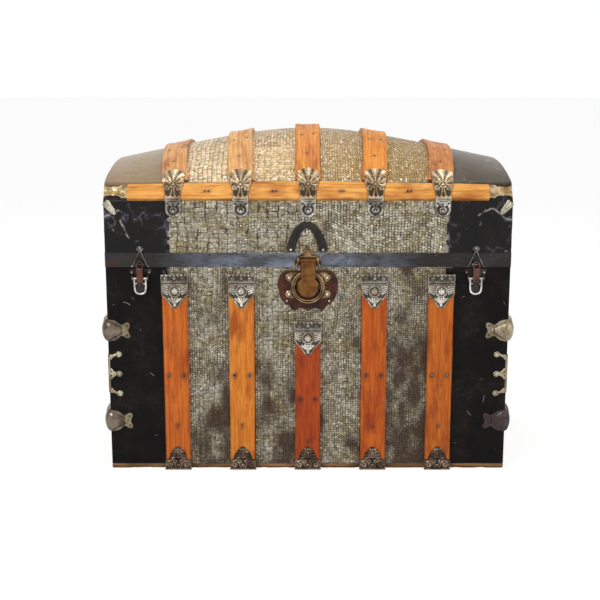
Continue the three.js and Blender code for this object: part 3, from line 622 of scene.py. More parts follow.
def scratches(look, size, amount):
    """Thin curved lines, here and there."""
    place = look.vector()
    line = look.off(look.noise(place, size, 1), 0.5)
    here = look.level(look.noise(place, size * 0.45, 1), amount, amount + 0.05)
    return look.times(look.level(line, 0.001, 0.006, 1.0, 0.0), here)


def black_tin(name, specular, reflection_share):
    """Japanned tin, near black, dusty and scratched, with painted blue-grey reflections over dents on faces
    to the front, and a painted sheen on the crown, rubbed places and painted highlights where the mesh says.
    """
    look = Finish(name, 0.0, specular)
    place = look.vector()
    patch = look.noise(place, 50, 4)
    dust = look.noise(place, 7, 5, roughness=0.7)
    look.colour = look.mix(look.level(patch, 0.4, 0.65), (11, 9, 9), (24, 18, 14))
    # Painted reflection: blue-grey streaks over dents, only on faces turned to the front.
    fold = look.off(look.noise(place, 30, 4), 0.5)
    facing = look.level(look.axis("Y"), -0.215, -0.19, 1, 0.15)
    painted_reflection = look.times(look.level(fold, 0.0, 0.035, 1, 0), look.level(patch, 0.48, 0.6, 0, reflection_share))
    look.cover((96, 98, 116), look.times(painted_reflection, facing))
    look.cover((84, 78, 76), dust, 0.66, 0.76, 0.3)
    for size, amount in ((70, 0.66), (45, 0.7)):
        look.cover((150, 146, 142), scratches(look, size, amount), share=0.7)
    # Painted sheen on the crown: light from above reflected in the gloss, taupe to the left, darker to the
    # right and paler higher up.
    right = look.level(look.axis("X"), -0.1, 0.1)
    dim = look.mix(right, (152, 126, 94), (62, 51, 36))
    lit = look.mix(right, (158, 142, 116), (90, 76, 54))
    satin = look.mix(look.level(look.axis("Z"), 0.555, 0.625), dim, lit)
    grain = look.noise(place, 2.5, 3, (30, 1, 1))
    satin = look.mix(look.level(grain, 0.42, 0.62, 0, 0.35), satin, (82, 68, 48))
    satin = look.mix(look.level(patch, 0.5, 0.72, 0, 0.25), satin, (108, 98, 78))
    look.cover(satin, look.value("satin"))
    # Light grey where rubbed, and on the lid painted highlights along fold lines.
    look.cover((176, 170, 164), look.value("wear"), share=0.85)
    look.bump(dust, 0.3, 0.3)
    return look.done(look.level(dust, 0.35, 0.7, 0.24, 0.44))


def banding(name):
    """Slate-grey strip steel, brighter to the middle, brown and rusty at its ends."""
    look = Finish(name, 0.7)
    place, along = look.vector(), look.axis("X")
    off = look.off(along, -0.03)
    patch = look.noise(place, 24, 4, (2.2, 1, 1))
    fine = look.noise(place, 3, 4, (4, 1, 1))
    look.colour = look.mix(look.level(patch, 0.4, 0.62), (124, 130, 144), (78, 80, 84))
    look.cover((36, 32, 27), off, 0.02, 0.26, 0.93)
    rust = look.times(look.level(along, -0.3, -0.37, 0, 0.28), look.level(patch, 0.42, 0.56))
    look.cover((92, 54, 36), rust)
    look.cover((28, 26, 26), fine, 0.52, 0.7, 0.6)
    look.cover((160, 162, 170), look.times(scratches(look, 26, 0.62), look.level(off, 0.05, 0.25, 0.7, 0.25)))
    look.bump(fine, 0.25, 0.4)
    return look.done(look.level(patch, 0.3, 0.7, 0.28, 0.46))


def leather(name, light, dark):
    """Old strap leather with a pebbled grain and rubbed edges."""
    look = Finish(name, 0.0, 0.25)
    place = look.vector()
    grain = look.noise(place, 1.4, 5)
    look.colour = look.mix(look.level(look.noise(place, 16), 0.4, 0.65), dark, light)
    look.cover((14, 9, 8), grain, 0.55, 0.75, 0.6)
    look.cover((104, 88, 74), look.value("rub"))
    look.bump(grain, 0.35, 0.6)
    return look.done(look.level(grain, 0.3, 0.7, 0.42, 0.7))


def plain_board(name, light, dark, along, grime):
    """Rough softwood whose grain runs along one axis, with painted shadow blackening its foot."""
    look = Finish(name, 0.0, 0.15)
    place = look.vector()
    streaks = look.noise(place, 4, 5, tuple(22 if axis == along else 1 for axis in range(3)))
    patch = look.noise(place, 40, 4, (2, 2, 1))
    look.colour = look.mix(look.level(streaks, 0.34, 0.66), light, dark)
    look.cover((70, 50, 34), patch, 0.46, 0.66, grime)
    # Painted shadow: near black in the lowest few millimetres, where the trunk meets the floor.
    foot = look.plus(look.axis("Z"), look.level(patch, 0, 1, 0, 0.006))
    look.cover((20, 15, 11), foot, 0.007, 0.003, 0.95)
    look.bump(streaks, 0.4, 0.5)
    return look.done(look.level(streaks, 0.3, 0.7, 0.62, 0.85))


# The dome slats and the rail face up and get lighter, yellower tones than the upright slats: painted light
# from above over each one's own tone.
slat_tones = ((176, 87, 26), (192, 110, 36), (150, 59, 17), (170, 78, 20), (170, 86, 24))
dome_tones = ((196, 136, 78), (206, 148, 86), (200, 122, 46), (202, 121, 30), (184, 114, 52))
slat_woods = [wood(f"slat_wood_{i + 1}", *tone) for i, tone in enumerate(slat_tones)]
dome_woods = [wood(f"dome_wood_{i + 1}", *tone) for i, tone in enumerate(dome_tones)]
rail_wood = wood("rail_wood", 208, 142, 68)
end_wood = wood("end_slat_wood", 176, 96, 38)
hide_tin = embossed("embossed_tin")
# The lid's tin gets painted reflections, the box's hardly any.
lid_black = black_tin("lid_black_tin", 0.2, 0.75)
box_black = black_tin("box_black_tin", 0.09, 0.06)
band_steel = banding("band_steel")
pewter = relief_metal("pewter", (216, 209, 195), (150, 138, 119), (34, 27, 21))
dark_pewter = relief_metal("dark_pewter", (206, 202, 194), (122, 112, 98), (26, 21, 17))
palm_metal = relief_metal("palmette_metal", (198, 177, 143), (144, 120, 88), (44, 30, 18))
torn_tin = relief_metal("torn_tin", (206, 180, 138), (156, 128, 84), (44, 32, 20))
bronze = relief_metal("dark_bronze", (128, 108, 90), (74, 55, 42), (18, 12, 9))
brass = relief_metal("brass", (160, 132, 94), (104, 80, 51), (40, 24, 15), low=0.2)
copper = relief_metal("worn_copper", (126, 86, 38), (98, 58, 26), (40, 22, 13), low=0.24)
backing = relief_metal("lock_backing", (78, 40, 25), (50, 22, 13), (20, 9, 6), 0.0, low=0.3, specular=0.2)
champagne = relief_metal("champagne_tin", (168, 158, 132), (122, 108, 84), (40, 31, 22))
bumper_steel = relief_metal("bumper_steel", (124, 112, 98), (82, 70, 58), (30, 22, 16), low=0.14, high=0.28)
bruised = relief_metal("bruised_tin", (70, 54, 50), (44, 32, 30), (18, 12, 12), 0.4)
nickel = relief_metal("nickel", (196, 190, 172), (146, 138, 118), (50, 40, 30), low=0.16, high=0.36)
bright_steel = relief_metal("bright_steel", (222, 220, 214), (176, 172, 164), (60, 52, 44),
                            low=0.18, grime=0.2)
dark_steel = relief_metal("dark_steel", (112, 108, 104), (58, 54, 50), (18, 15, 13))
rusty_iron = relief_metal("rusty_iron", (96, 56, 42), (58, 34, 27), (20, 12, 10), 0.4)
nail_metal = relief_metal("nail_metal", (104, 90, 86), (62, 50, 48), (22, 15, 14), low=0.2)
hinge_metal = relief_metal("hinge_iron", (112, 104, 96), (76, 66, 58), (44, 28, 20), low=0.34, high=0.55)
strap_leather = leather("strap_leather", (44, 38, 34), (23, 19, 17))
handle_leather = leather("handle_leather", (92, 60, 40), (54, 34, 23))
board_long = plain_board("board_long", (190, 156, 114), (146, 110, 74), 0, 0.18)
board_cross = plain_board("board_cross", (188, 154, 112), (142, 108, 72), 1, 0.18)
worn_board = plain_board("worn_board", (154, 112, 68), (98, 68, 40), 0, 0.85)


# Embossed tin

def hide(p_fine, q_fine, p_wide, q_wide, wide, swell):
    """Height in millimetres of the embossing, and what the material needs to draw the same cells."""
    height = 0.16 * pillows(p_fine, q_fine) * (1 - wide) + 0.5 * pillows(p_wide, q_wide) * wide
    empty = np.zeros(p_fine.shape)
    values = {
        "fine_cell": np.stack([p_fine, q_fine, empty], axis=-1).reshape(-1, 3),
        "wide_cell": np.stack([p_wide, q_wide, empty], axis=-1).reshape(-1, 3),
        "wide": np.clip(wide, 0, 1).ravel(),
    }
    return height + swell - 0.2, values


def box_sheet(name, node, place, columns, rows, stride):
    """The embossed sheet on the front or back of the box, between its two ends of black tin."""
    x = np.linspace(-embossed_half, embossed_half, columns)[:, None]
    z = np.linspace(board_top, seam_height, rows)[None, :]
    x, z = np.broadcast_arrays(x, z)
    beside = np.abs(x - slat_pitch * np.round(x / slat_pitch))
    free = step(28, 50, beside)
    sway = free * 5 * rough(x / 40, z / 55, 11)
    roll = free * 4 * rough(x / 50, z / 45, 17)
    left = step(30, -30, x) - 0.35
    wide = step(34, 42, beside + 5 * noise(z / 26, x / 60, 5))
    wide = wide * step(0.0, 0.3, noise(x / 50, z / 45, 8) + left)
    height, values = hide((x + sway) / 4.6, (z + roll) / 4.4, (x + sway) / 9.5, (z + roll) / 7.6, wide,
                          0.25 * rough(x / 18, z / 22, 41))
    low = 0.62 * step(300, 30, z) * (1 - 0.5 * step(60, 20, np.abs(x - slat_pitch / 2)))
    low = low + 0.2 * step(-130, -170, x) + 0.5 * step(130, 160, x)
    dirt = 0.14 + step(0.2, 1.0, 0.9 * rough(x / 26, z / 50, 51) + low) * 0.78
    values.update(gold=0 * dirt.ravel(), dirt=dirt.ravel())
    shape = shell(place(x, z, height), place(x, z, np.full(x.shape, -tin)), stride)
    piece(name, "box", "embossed_tin", hide_tin, shape, [node], 60, **values)


def dome_sheet():
    """The embossed sheet that runs from the front seam over the dome to the back seam."""
    t = climb(80, 16, 208, 16, 40)
    x, t = np.broadcast_arrays(np.linspace(-embossed_half, embossed_half, 321)[:, None], t[None, :])
    s = lid_distance(x, t)
    crown = step(1.9, 2.05, np.minimum(t, 5 - t))
    bay = step(-104, -100, x) * step(-22, -26, x) * step(285, 250, s + 8 * noise(x / 16, s / 30, 2))
    patchy = noise(s / 18, x / 40, 3)
    wall = step(20, -30, x + 14 * patchy) * step(0.75, 0.45, noise(x / 24, s / 16, 9))
    wide = np.where(crown > 0.5, bay, wall)
    sway, roll = 6 * rough(x / 45, s / 50, 11), 4 * rough(x / 60, s / 45, 17)
    sweep = (1 - crown) * step(-20, 60, x) * (9 * np.sin((x - 60) / 38) + 0.22 * (x - 60))
    fray = 1.6 * noise(x / 7, s / 6, 23)
    p_wide = np.where(crown > 0.5, (s + 0.4 * roll) / 7.2, (x + 1.2 * sway + fray) / 19.0)
    q_wide = np.where(crown > 0.5, (x + 0.4 * sway) / 13.0, (s + 1.6 * roll + 0.6 * fray) / 9.4)
    bays = [crown < 0.5, x < -slat_pitch, x < 0]
    cell_width = np.select(bays, [5.6, 9.0, 6.0], 4.8)
    cell_height = np.select(bays, [5.0, 4.4, 5.0], 5.2)
    p_fine, q_fine = (x + 0.6 * sway) / cell_width, (s + roll + sweep) / cell_height
    height, values = hide(p_fine, q_fine, p_wide, q_wide, wide, 0.25 * rough(x / 20, s / 20, 41))
    dirt = step(0.3, 0.95, rough(x / 36, s / 30, 53)) * 0.55 * (1 - 0.6 * crown)
    dirt = dirt + (0.03 + 0.06 * step(20, -60, x)) * (1 - crown)
    values.update(gold=crown.ravel(), dirt=dirt.ravel())
    shape = shell(on_lid(x, t, height), on_lid(x, t, np.full(x.shape, -tin)), 8)
    piece("dome_tin_sheet", "lid", "dome_tin", hide_tin, shape, ["dome_tin"], 60, **values)


box_sheet("box_front_sheet", "box_front_tin", on_front(0), 337, 249, 8)
box_sheet("box_back_sheet", "box_back_tin", turned(on_front(0)), 257, 193, 8)
dome_sheet()


# Black tin

def dents(u, v, seed, depth):
    """Shallow dents and sharper creases of thin tin nailed over boards."""
    fold = 1 - np.abs(noise(u / 38 + 0.6 * noise(u / 50, v / 50, seed + 5), v / 30, seed))
    return depth * (0.55 * rough(u / 45, v / 45, seed + 1) + 0.6 * np.maximum(fold - 0.8, 0) * 5 - 0.25)


def wrap_path(depth_half, corner, count):
    """Points and outward ways of black tin seen from above, from the front sheet round to the back one."""
    straight = half_length - corner - embossed_half
    arc = corner * pi / 2
    side = 2 * (depth_half - corner)
    bends = [start + np.linspace(0, arc, 7) for start in (straight, straight + arc + side)]
    s = np.union1d(np.linspace(0, 2 * straight + 2 * arc + side, count), np.concatenate(bends))
    turn = np.clip((s - straight) / arc, 0, 1) + np.clip((s - straight - arc - side) / arc, 0, 1)
    turn = turn * pi / 2
    way = np.stack([np.sin(turn), -np.cos(turn)], axis=-1)
    first = np.minimum(s, straight)
    last = np.clip(s - straight - 2 * arc - side, 0, straight)
    x = embossed_half + first - last + corner * np.sin(turn)
    y = -(depth_half - corner) - corner * np.cos(turn) + np.clip(s - straight - arc, 0, side)
    return s, x, y, way


def beside_path(x, y, way, z):
    """A place at a distance b out from a path round the box."""
    return lambda b: stack(x[:, None] + way[:, :1] * b, y[:, None] + way[:, 1:] * b, z)


def box_wrap(name, side, seed):
    """Black tin round one end of the box."""
    s, x, y, way = wrap_path(half_depth, 1.6, 176)
    z = np.linspace(board_top, seam_height, 78)
    grid_s, grid_z = np.meshgrid(s, z, indexing="ij")
    calm = np.clip(np.hypot(x - half_length, np.abs(y) - half_depth) / 12, 0.1, 1)[:, None]
    out = np.clip(dents(grid_s, grid_z, seed, 0.5), -0.45, 0.5) * calm
    wear = step(0.62, 0.9, rough(grid_s / 12, grid_z / 9, seed + 9)) * step(300, 400, grid_z) * 0.5
    edge = hump(grid_s - s[0], 5) * step(0.1, 0.5, noise(grid_z / 7, grid_s / 9, seed + 2))
    place = beside_path(x, y, way, grid_z)
    spin = np.array([side, 1, 1])
    values = {"satin": 0 * wear.ravel(), "wear": np.clip(wear + 0.5 * edge, 0, 1).ravel()}
    shape = shell(place(out) * spin, place(np.full(out.shape, -tin)) * spin)
    piece(f"box_{name}_sheet", "box", "black_tin", box_black, shape, [f"box_{name}_tin"], 60, **values)


def lid_end(side, seed):
    """The plate of black tin on one end of the lid, cut to its outline."""
    y = np.linspace(-half_depth, half_depth, 91)[:, None]
    near = np.interp(np.abs(y), [half_depth - bevel_run, half_depth], [wall_top + bevel_rise, wall_top])
    rise, radius, _ = crown_arc(half_length)
    over = wall_top + bevel_rise + rise - radius + np.sqrt(np.maximum(radius**2 - y**2, 0))
    top = np.where(np.abs(y) > half_depth - bevel_run, near, over)
    z = seam_height + (top - seam_height) * np.linspace(0, 1, 45)[None, :]
    y, z = np.broadcast_arrays(y, z)
    sag = np.clip(dents(y, z, seed, 0.6), -0.5, 0.3)
    return shell(stack(side * (half_length + sag), y, z), stack(side * (half_length - tin), y, z))


def lid_wrap(name, side, seed, highlight_folds):
    """Black tin on one end of the lid: over the boards, rubbed in places, with painted highlights along fold
    lines, and the end plate.
    """
    x = np.linspace(embossed_half, half_length - 0.3, 81)[:, None]
    x, t = np.broadcast_arrays(x, climb(96, 8, 89, 8, 25)[None, :])
    s = lid_distance(x, t)
    near_seam = np.minimum(t, 5 - t)
    wall = step(1.15, 0.95, near_seam)
    out = np.clip(dents(x * 1.3, s, seed, 0.9) * (0.45 + 0.55 * wall), -0.5, 0.6)
    fleck = hump(x - embossed_half, 4) * step(0.15, 0.5, noise(s / 6, x / 9, seed + 2))
    wear = step(0.55, 0.9, rough(x / 14, s / 10, seed + 9)) * 0.5 + 0.8 * fleck
    broken = np.clip(0.7 + noise(x / 6, s / 6, seed), 0, 1)
    # Painted highlights along fold lines, added to the rubbed places.
    for path, width in highlight_folds:
        wear = wear + ridge(x + noise(s / 5, x / 7, seed), s, smooth_path(path), width, 1.0) * broken
    # The painted sheen lies over the crown.
    satin = step(1.6, 2.1, near_seam)
    spin = np.array([side, 1, 1])
    skin = shell(on_lid(x, t, out) * spin, on_lid(x, t, np.full(x.shape, -tin)) * spin)
    end = lid_end(side, seed + 20)
    plain = np.zeros(len(end[0]))
    values = {
        "satin": np.concatenate([satin.ravel(), satin.ravel(), plain]),
        "wear": np.concatenate([np.clip(wear, 0, 1).ravel(), 0 * wear.ravel(), plain]),
    }
    shape = merge([skin, end])
    piece(f"lid_{name}_sheet", "lid", "black_tin", lid_black, shape, [f"lid_{name}_tin"], 60, **values)


box_wrap("left", -1, 61)
box_wrap("right", 1, 67)
lid_wrap("left", -1, 71, (([(393, 93), (372, 98), (353, 107)], 1.2),
                          ([(350, 88), (343, 72), (336, 56)], 1.3)))
lid_wrap("right", 1, 77, (([(318, 98), (332, 106), (346, 110), (368, 92), (394, 89)], 1.1),
                          ([(392, 86), (384, 70), (390, 60)], 1.2)))


# Wood and nails

def strip(place, width, span, thickness, cup, seed, stations, stains):
    """A wooden strip with round edges, a little hollow or crowned on top, with stains round its nails."""
    half, corner = width / 2, 2.2
    bend = np.linspace(0, pi / 2, 4)
    left = [(-half + corner - corner * cos(g), thickness - corner + corner * sin(g)) for g in bend]
    flat = [(a, thickness) for a in np.linspace(-half + corner, half - corner, 9)[1:-1]]
    section = np.array([(-half, 0), *left, *flat, *[(-a, b) for a, b in left[::-1]], (half, 0)])
    s = np.linspace(*span, stations)[:, None]
    a, b = section[:, 0][None, :], section[:, 1][None, :]
    raised = step(thickness - corner, thickness, b)
    b = b + raised * (0.25 * noise(s / 35, a / 14 + seed, seed) - cup * (1 - (a / half) ** 2))
    a = a + 0.5 * np.sign(a) * noise(s / 45, np.sign(a) + seed, seed + 4) * (np.abs(a) > half - corner)
    a, s, b = np.broadcast_arrays(a, s, b)
    stain = np.zeros(a.shape)
    for at_a, at_s, reach in stains:
        away = np.hypot(a - at_a, (s - at_s) / (1 + 0.8 * (s < at_s)))
        stain = np.maximum(stain, hump(away, reach, 0.85))
    grime = hump(half - np.abs(a), 1.6, 0.35) * (0.6 + 0.4 * noise(s / 12, a, seed + 6))
    values = {
        "grain": np.stack([a + 37 * seed, b, s + 211 * seed], axis=-1).reshape(-1, 3) * MM,
        "stain": np.clip(stain + grime, 0, 1).ravel(),
    }
    return loft(place(a, s, b)), values


def slat(node, body, slot, finish, *form):
    """The wooden strip that stands for a node, from what strip takes."""
    shape, values = strip(*form)
    piece(node + "_wood", body, slot, finish, shape, [node], **values)


def studs(spots, radius, rise, sides=10):
    """Domed nail heads; each spot is a place with its a, s and b."""
    profile = [(1.0, 0.0), (0.96, 0.3), (0.75, 0.7), (0.42, 0.93), (0.12, 1.0)]
    angles = np.arange(sides) * 2 * pi / sides
    bodies = []
    for place, a, s, b in spots:
        base = place(a, s, b).reshape(3)
        out = place(a, s, b + 1).reshape(3) - base
        out /= np.linalg.norm(out)
        across = np.cross(out, [0.3, 0.2, 0.9])
        across /= np.linalg.norm(across)
        other = np.cross(out, across)
        rings = [
            [base + radius * r * (cos(g) * across + sin(g) * other) + out * (rise * h - 0.2) for g in angles]
            for r, h in profile
        ]
        bodies.append(loft(np.array(rings)))
    return merge(bodies)


def nails(name, body, spots, radius=2.8, rise=1.9, finish=nail_metal):
    piece(name, body, "pewter", finish, studs(spots, radius, rise), sharp=70)


# Pressed trim

def pressed(place, span, half_width, relief, hem=None, columns=41, rows=57, base=0.0, sheet=sheet_metal,
            bite=2.0, dark=None):
    """A pressed plate: half its width follows s, and its relief is in millimetres over the sheet.

    Its low places are painted dark as shade, more so with more bite, unless dark says where. A hem moves its
    first end.
    """
    s = np.linspace(*span, rows)[None, :]
    half = half_width(s)
    a = np.linspace(-1, 1, columns)[:, None] * half
    a, s, half = np.broadcast_arrays(a, s, half)
    if hem is not None:
        s = s + hem(a) * (1 - (s - span[0]) / (span[1] - span[0]))
    height = relief(a, s)
    inset = np.minimum(half - np.abs(a), np.minimum(np.abs(s - span[0]), np.abs(s - span[1])) + 0.4)
    lip = step(0, 0.8, inset)
    outer = place(a, s, base + sheet * (0.55 + 0.45 * lip) + height * lip)
    inner = place(a, s, np.full(a.shape, base))
    top = max(float(height.max()), 0.1)
    # Painted shade: the lower the relief, the darker.
    crease = np.clip(1 - bite * height / top, 0, 0.92) * lip
    if dark is not None:
        crease = np.clip(dark(a, s), 0, 1)
    return shell(outer, inner), crease.ravel()


def plate(name, body, slot, finish, place, span, half_width, relief, extras=(), replaces=(), **options):
    """A pressed plate as a piece, with the wires and lugs that are one with it."""
    shape, crease = pressed(place, span, half_width, relief, **options)
    piece(name, body, slot, finish, merge([shape, *extras]), replaces, crease=crease)


def top_clamp_shape(top):
    """Half width and relief of a shield clamp, with its crown strip uppermost and its point below."""
    high = top + clamp_rise
    tall, half = 65.0, 25.5
    shares = [0, 0.57, 0.66, 0.77, 0.88, 0.96, 1]
    widths = [1, 1, 0.84, 0.56, 0.4, 0.26, 0.05]

    def half_width(s):
        t = (high - s) / tall
        crown = 0.5 * np.abs(np.sin(s * pi / 4.4)) * (t < 0.22)
        return half * np.interp(t, shares, widths) - crown

    def relief(a, s):
        t = high - s
        away = np.hypot(a, t - 32.0)
        petals = 0.8 + 0.2 * np.cos(8 * np.arctan2(t - 32.0, a))
        rosette = most(2.3 * step(8.4 * petals, 6.4 * petals, away), 2.9 * step(3.2, 1.8, away))
        beads = [(boss, (k * 7.2, 2.0), 2.2, 0.9) for k in range(-3, 4)]
        bars = [(ridge, [(-26, at), (26, at)], 0.9, 1.2) for at in (14.5, 19.5)]
        fan = [(ridge, [(1.5 * sin(way), 55), (far * sin(way), 57 - far * cos(way))], 1.6, 1.9)
               for way, far in ((0.0, 11.0), (0.42, 13.0), (0.8, 15.5))]
        leaves = [(ridge, [(12.5 + 0.4 * k, 23.5 + 4.6 * k), (23.5 - 0.8 * k, 22.5 + 3.6 * k)], 1.25, 1.8)
                  for k in range(4)]
        middle = press(a, t, *beads, *bars, (boss, (0, 7.5), 2.8, 0.9), (boss, (0, 59), 3.2, 2.3),
                       (ring, (0, 32.0), 10.2, 0.9, 1.7))
        sides = press(np.abs(a), t, *fan, *leaves, (boss, (16.5, 8.5), 3.2, 1.2),
                      (ridge, [(4, 11.5), (10, 12.8), (22, 12.5)], 0.9, 0.7))
        return most(rosette, middle, sides, rim(half_width, a, s, 1.6, 1.1, 1.4) * (t > 21))

    return (high - tall, high), half_width, relief


def foot_clamp_shape():
    """A broad foot with two scrolls and a leafed dome with a gem above."""
    marks = [0, 2, 18, 20.5, 22, 27, 33, 39, 43, 46, 47.5]
    widths = [24.6, 25.5, 25.5, 24, 18.5, 17, 15, 11.5, 7.8, 4.4, 1]

    def half_width(s):
        return np.interp(s, marks, widths) + 0.5 * np.sin(s * 1.1) * (s < 19)

    def relief(a, s):
        stem = smooth_path([(4, 5), (7, 12), (3, 17), (10, 20), (22, 17.5)])
        leaves = [(ridge, [(4 + k, 40 - 5 * k), (7.5 + 1.6 * k, 43 - 6.4 * k)], 1.5, 1.7) for k in range(4)]
        gem = press(a, s * 0.72, (boss, (0, 23.4), 3.6, 2.0), (ring, (0, 23.4), 5.4, 0.8, 1.2))
        middle = press(a, s, (boss, (0, 9), 3.4, 1.9), (boss, (0, 42.5), 2.4, 1.8),
                       (ridge, [(-26, 2.2), (26, 2.2)], 1.1, 1.3))
        sides = press(np.abs(a), s, *leaves, (ridge, scroll((15, 10.5), 7.6, 150, 1.2), 1.4, 2.0),
                      (ridge, stem, 1.2, 1.6), (boss, (20.5, 10.5), 2.8, 1.6))
        return most(gem, middle, sides, rim(half_width, a, s, 1.5, 1.0, 1.4))

    return (0, marks[-1]), half_width, relief


def clamp_line(drop):
    """The line in Y and Z that a clamp follows up the wall, over the rail and on to the dome."""
    out = slat_thickness + 2 * seat_gap
    return [
        (front - seat_gap, wall_top - drop),
        (front - seat_gap, wall_top - 4),
        on_bevel(rail_inset, out),
        on_bevel(rail_inset + rail_width, out),
    ]


def palmette_line(x):
    """The clamp's line, carried on over the foot of a dome slat."""
    place = over_dome(x, dome_slat_thickness + 2 * seat_gap)
    steps = np.array([2.0, 12.0, 25.0])
    return clamp_line(30) + [tuple(point) for point in place(0 * steps, steps, 0 * steps)[:, 1:]]


def palmette_shape(line):
    """A petalled fan above, a waisted neck over the rail and a round tab on the wall."""
    run = np.concatenate([[0], np.cumsum(np.hypot(*np.diff(np.asarray(line), axis=0).T))])
    fold, neck, top = run[1] + 12, run[3] - 12, run[-1]
    heart = (0.0, neck + 3)

    def half_width(s):
        tab = np.sqrt(np.maximum(15.2**2 - (15.2 - np.minimum(s, 15.2)) ** 2, 0.5))
        marks = [fold, fold + 3, neck - 6, neck + 2, neck + 7, top - 14]
        body = np.interp(s, marks, [14.9, 14.8, 16.4, 18.8, 21, 21.4])
        t = np.clip((s - (top - 15)) / 15, 0, 1)
        fan = 21.4 * np.sqrt(np.maximum(1 - t**2.3, 0.002))
        scallop = 1.1 * np.abs(np.sin((s - neck) * pi / 8.0)) * step(neck, neck + 5, s)
        return np.where(s < fold, tab, np.where(s < top - 15, body, fan)) - scallop * (s < top - 2.5)

    def relief(a, s):
        angle = np.arctan2(s - heart[1], a)
        away = np.hypot(a, s - heart[1])
        round_angle = np.where(angle < -1.6, angle + 7, angle)
        above = step(-0.45, -0.2, angle) * step(pi + 0.45, pi + 0.2, round_angle)
        gaps = np.abs(np.cos((angle - pi / 2) * 5.5)) ** 1.3
        petals = (1.3 + 1.0 * step(4, 18, away)) * gaps * step(4.5, 7, away) * above
        tips = [(boss, (18.6 * cos(g), heart[1] + 20.5 * sin(g)), 2.1, 2.3)
                for g in np.linspace(0.1, pi - 0.1, 12)]
        beads = [(boss, (k * 5.6, fold + 3.6), 1.9, 1.6) for k in (1, 2)]
        bars = [(ridge, [(-13, level), (13, level)], 1.0, 1.6) for level in (30.5, 35.0)]
        stem = smooth_path([(1.5, fold + 2), (4, fold + 6), (1.5, neck - 6), (5, neck - 2)])
        middle = press(a, s, *tips, *bars, (boss, heart, 3.4, 1.9), (ring, heart, 6.0, 0.8, 1.5),
                       (ridge, [(-17, fold + 0.8), (17, fold + 0.8)], 1.1, 1.9),
                       (ring, (0, 14.6), 12.4, 1.1, 1.9))
        sides = press(np.abs(a), s, *beads, (ridge, scroll((10.0, neck - 5), 5.4, 80, 1.1), 1.2, 2.0),
                      (ridge, stem, 1.1, 1.8), (ridge, [(10, 33), (3, 22)], 1.2, 1.8),
                      (ridge, [(12.4, 20), (12.8, 36)], 1.1, 1.9))
        eye = ring(a, s * 1.2, (0, 16.2), 5.4, 1.1, 1.7)
        return most(petals, middle, sides, eye, rim(half_width, a, s, 1.3, 0.9, 1.3))

    return (0.0, top), half_width, relief, fold


def upright_slats():
    """Front and back slats: wood, shield clamp, foot clamp and nails."""
    top_nails, foot_nails, wood_nails, loose_nails = [], [], [], []
    rows = [(f"front_slat_{i + 1}", x, False) for i, x in enumerate(slat_places)]
    rows += [(f"back_slat_{i + 1}", -slat_places[2 * i], True) for i in range(3)]
    for index, (node, x, behind) in enumerate(rows):
        place = turned(on_front(-x)) if behind else on_front(x)
        sunk = 1.7 if behind else 0.5
        middle = node == "front_slat_3"
        top = box_of(node)[1][2] - clamp_rise
        level = 143.0 if middle else 190.0
        pair = [(-14.0, level), (14.0, level)]
        single = (1.5 * (-1) ** index, 60.0 if middle else 92.0)
        stains = [(a, s, 3.8) for a, s in pair] + [(*single, 3.4), (single[0], single[1] - 5, 2.8)]
        slat(node, "box", "slat", slat_woods[index % 5],
             place, slat_width, (board_top, top), slat_thickness, 0.2, index + 1, 70, stains)
        wood_nails += [(place, a, s, slat_thickness) for a, s in pair]
        loose_nails.append((place, *single, slat_thickness - 0.4))
        base = slat_thickness - sunk
        plate(node + "_top_clamp", "box", "pewter", pewter, place, *top_clamp_shape(top),
              rows=73, columns=49, base=base, bite=1.75)
        plate(node + "_foot_clamp", "box", "pewter", bronze, place, *foot_clamp_shape(),
              rows=61, columns=49, base=base)
        top_nails += [(place, a, top - s, base + 2) for a, s in ((-16.5, 3.5), (16.5, 3.5), (0, 54))]
        foot_nails.append((place, 0.0, 9.0, base + 2.2))
    nails("slat_nails", "box", wood_nails, 3.2, 2.2)
    nails("slat_foot_nails", "box", loose_nails, 2.2, 0.8)
    nails("clamp_nails", "box", top_nails, 1.9, 1.6)
    nails("foot_nails", "box", foot_nails, 1.8, 1.2)


def rail(node, around):
    """A rail along the bevel with its nails and the clamps that tie the dome slats to it."""
    spots = [(x + slat_pitch / 2 + d, -3.0) for x in slat_places[:-1] for d in (-3.2, 3.2)]
    stains = [(a, s, 2.8) for s, a in spots]

    def tapered(a, s, b):
        """The rail's place, with the upper edge falling a little towards the ends."""
        share = 1 - 0.19 * np.clip(np.abs(s) / rail_half, 0, 1)
        return along_bevel(-rail_width / 2 + (a + rail_width / 2) * share, s, b)

    slat(node, "lid", "dome_slat", rail_wood,
         around(tapered), rail_width, (-rail_half, rail_half), slat_thickness, 0.3, 31, 120, stains)
    heads = [(around(along_bevel), a, s, slat_thickness - 0.2) for s, a in spots]
    nails(node + "_nails", "lid", heads, 2.4, 1.1)
    tabs, rivets = [], []
    for i, x in enumerate(slat_places):
        line = palmette_line(x)
        place = around(along_line(line, x))
        span, half_width, relief, fold = palmette_shape(line)
        # The palmettes' warm yellow is painted light from above; the tabs below, bent to face front, get a
        # darker pewter as painted shade on the same metal.
        plate(f"{node}_palmette_{i + 1}", "lid", "pewter", palm_metal, place, (fold, span[1]), half_width,
              relief, rows=97, columns=53, bite=1.6)
        tabs.append(pressed(place, (0.0, fold), half_width, relief, rows=45, columns=45))
        rivets.append((place, 0.0, 12.0, 2.4))
    shape = merge([tab for tab, _ in tabs])
    crease = np.concatenate([np.pad(values, (0, len(tab[0]) - len(values))) for tab, values in tabs])
    piece(node + "_tabs", "lid", "pewter", dark_pewter, shape, crease=crease)
    nails(node + "_tab_rivets", "lid", rivets, 2.2, 1.4, bright_steel)


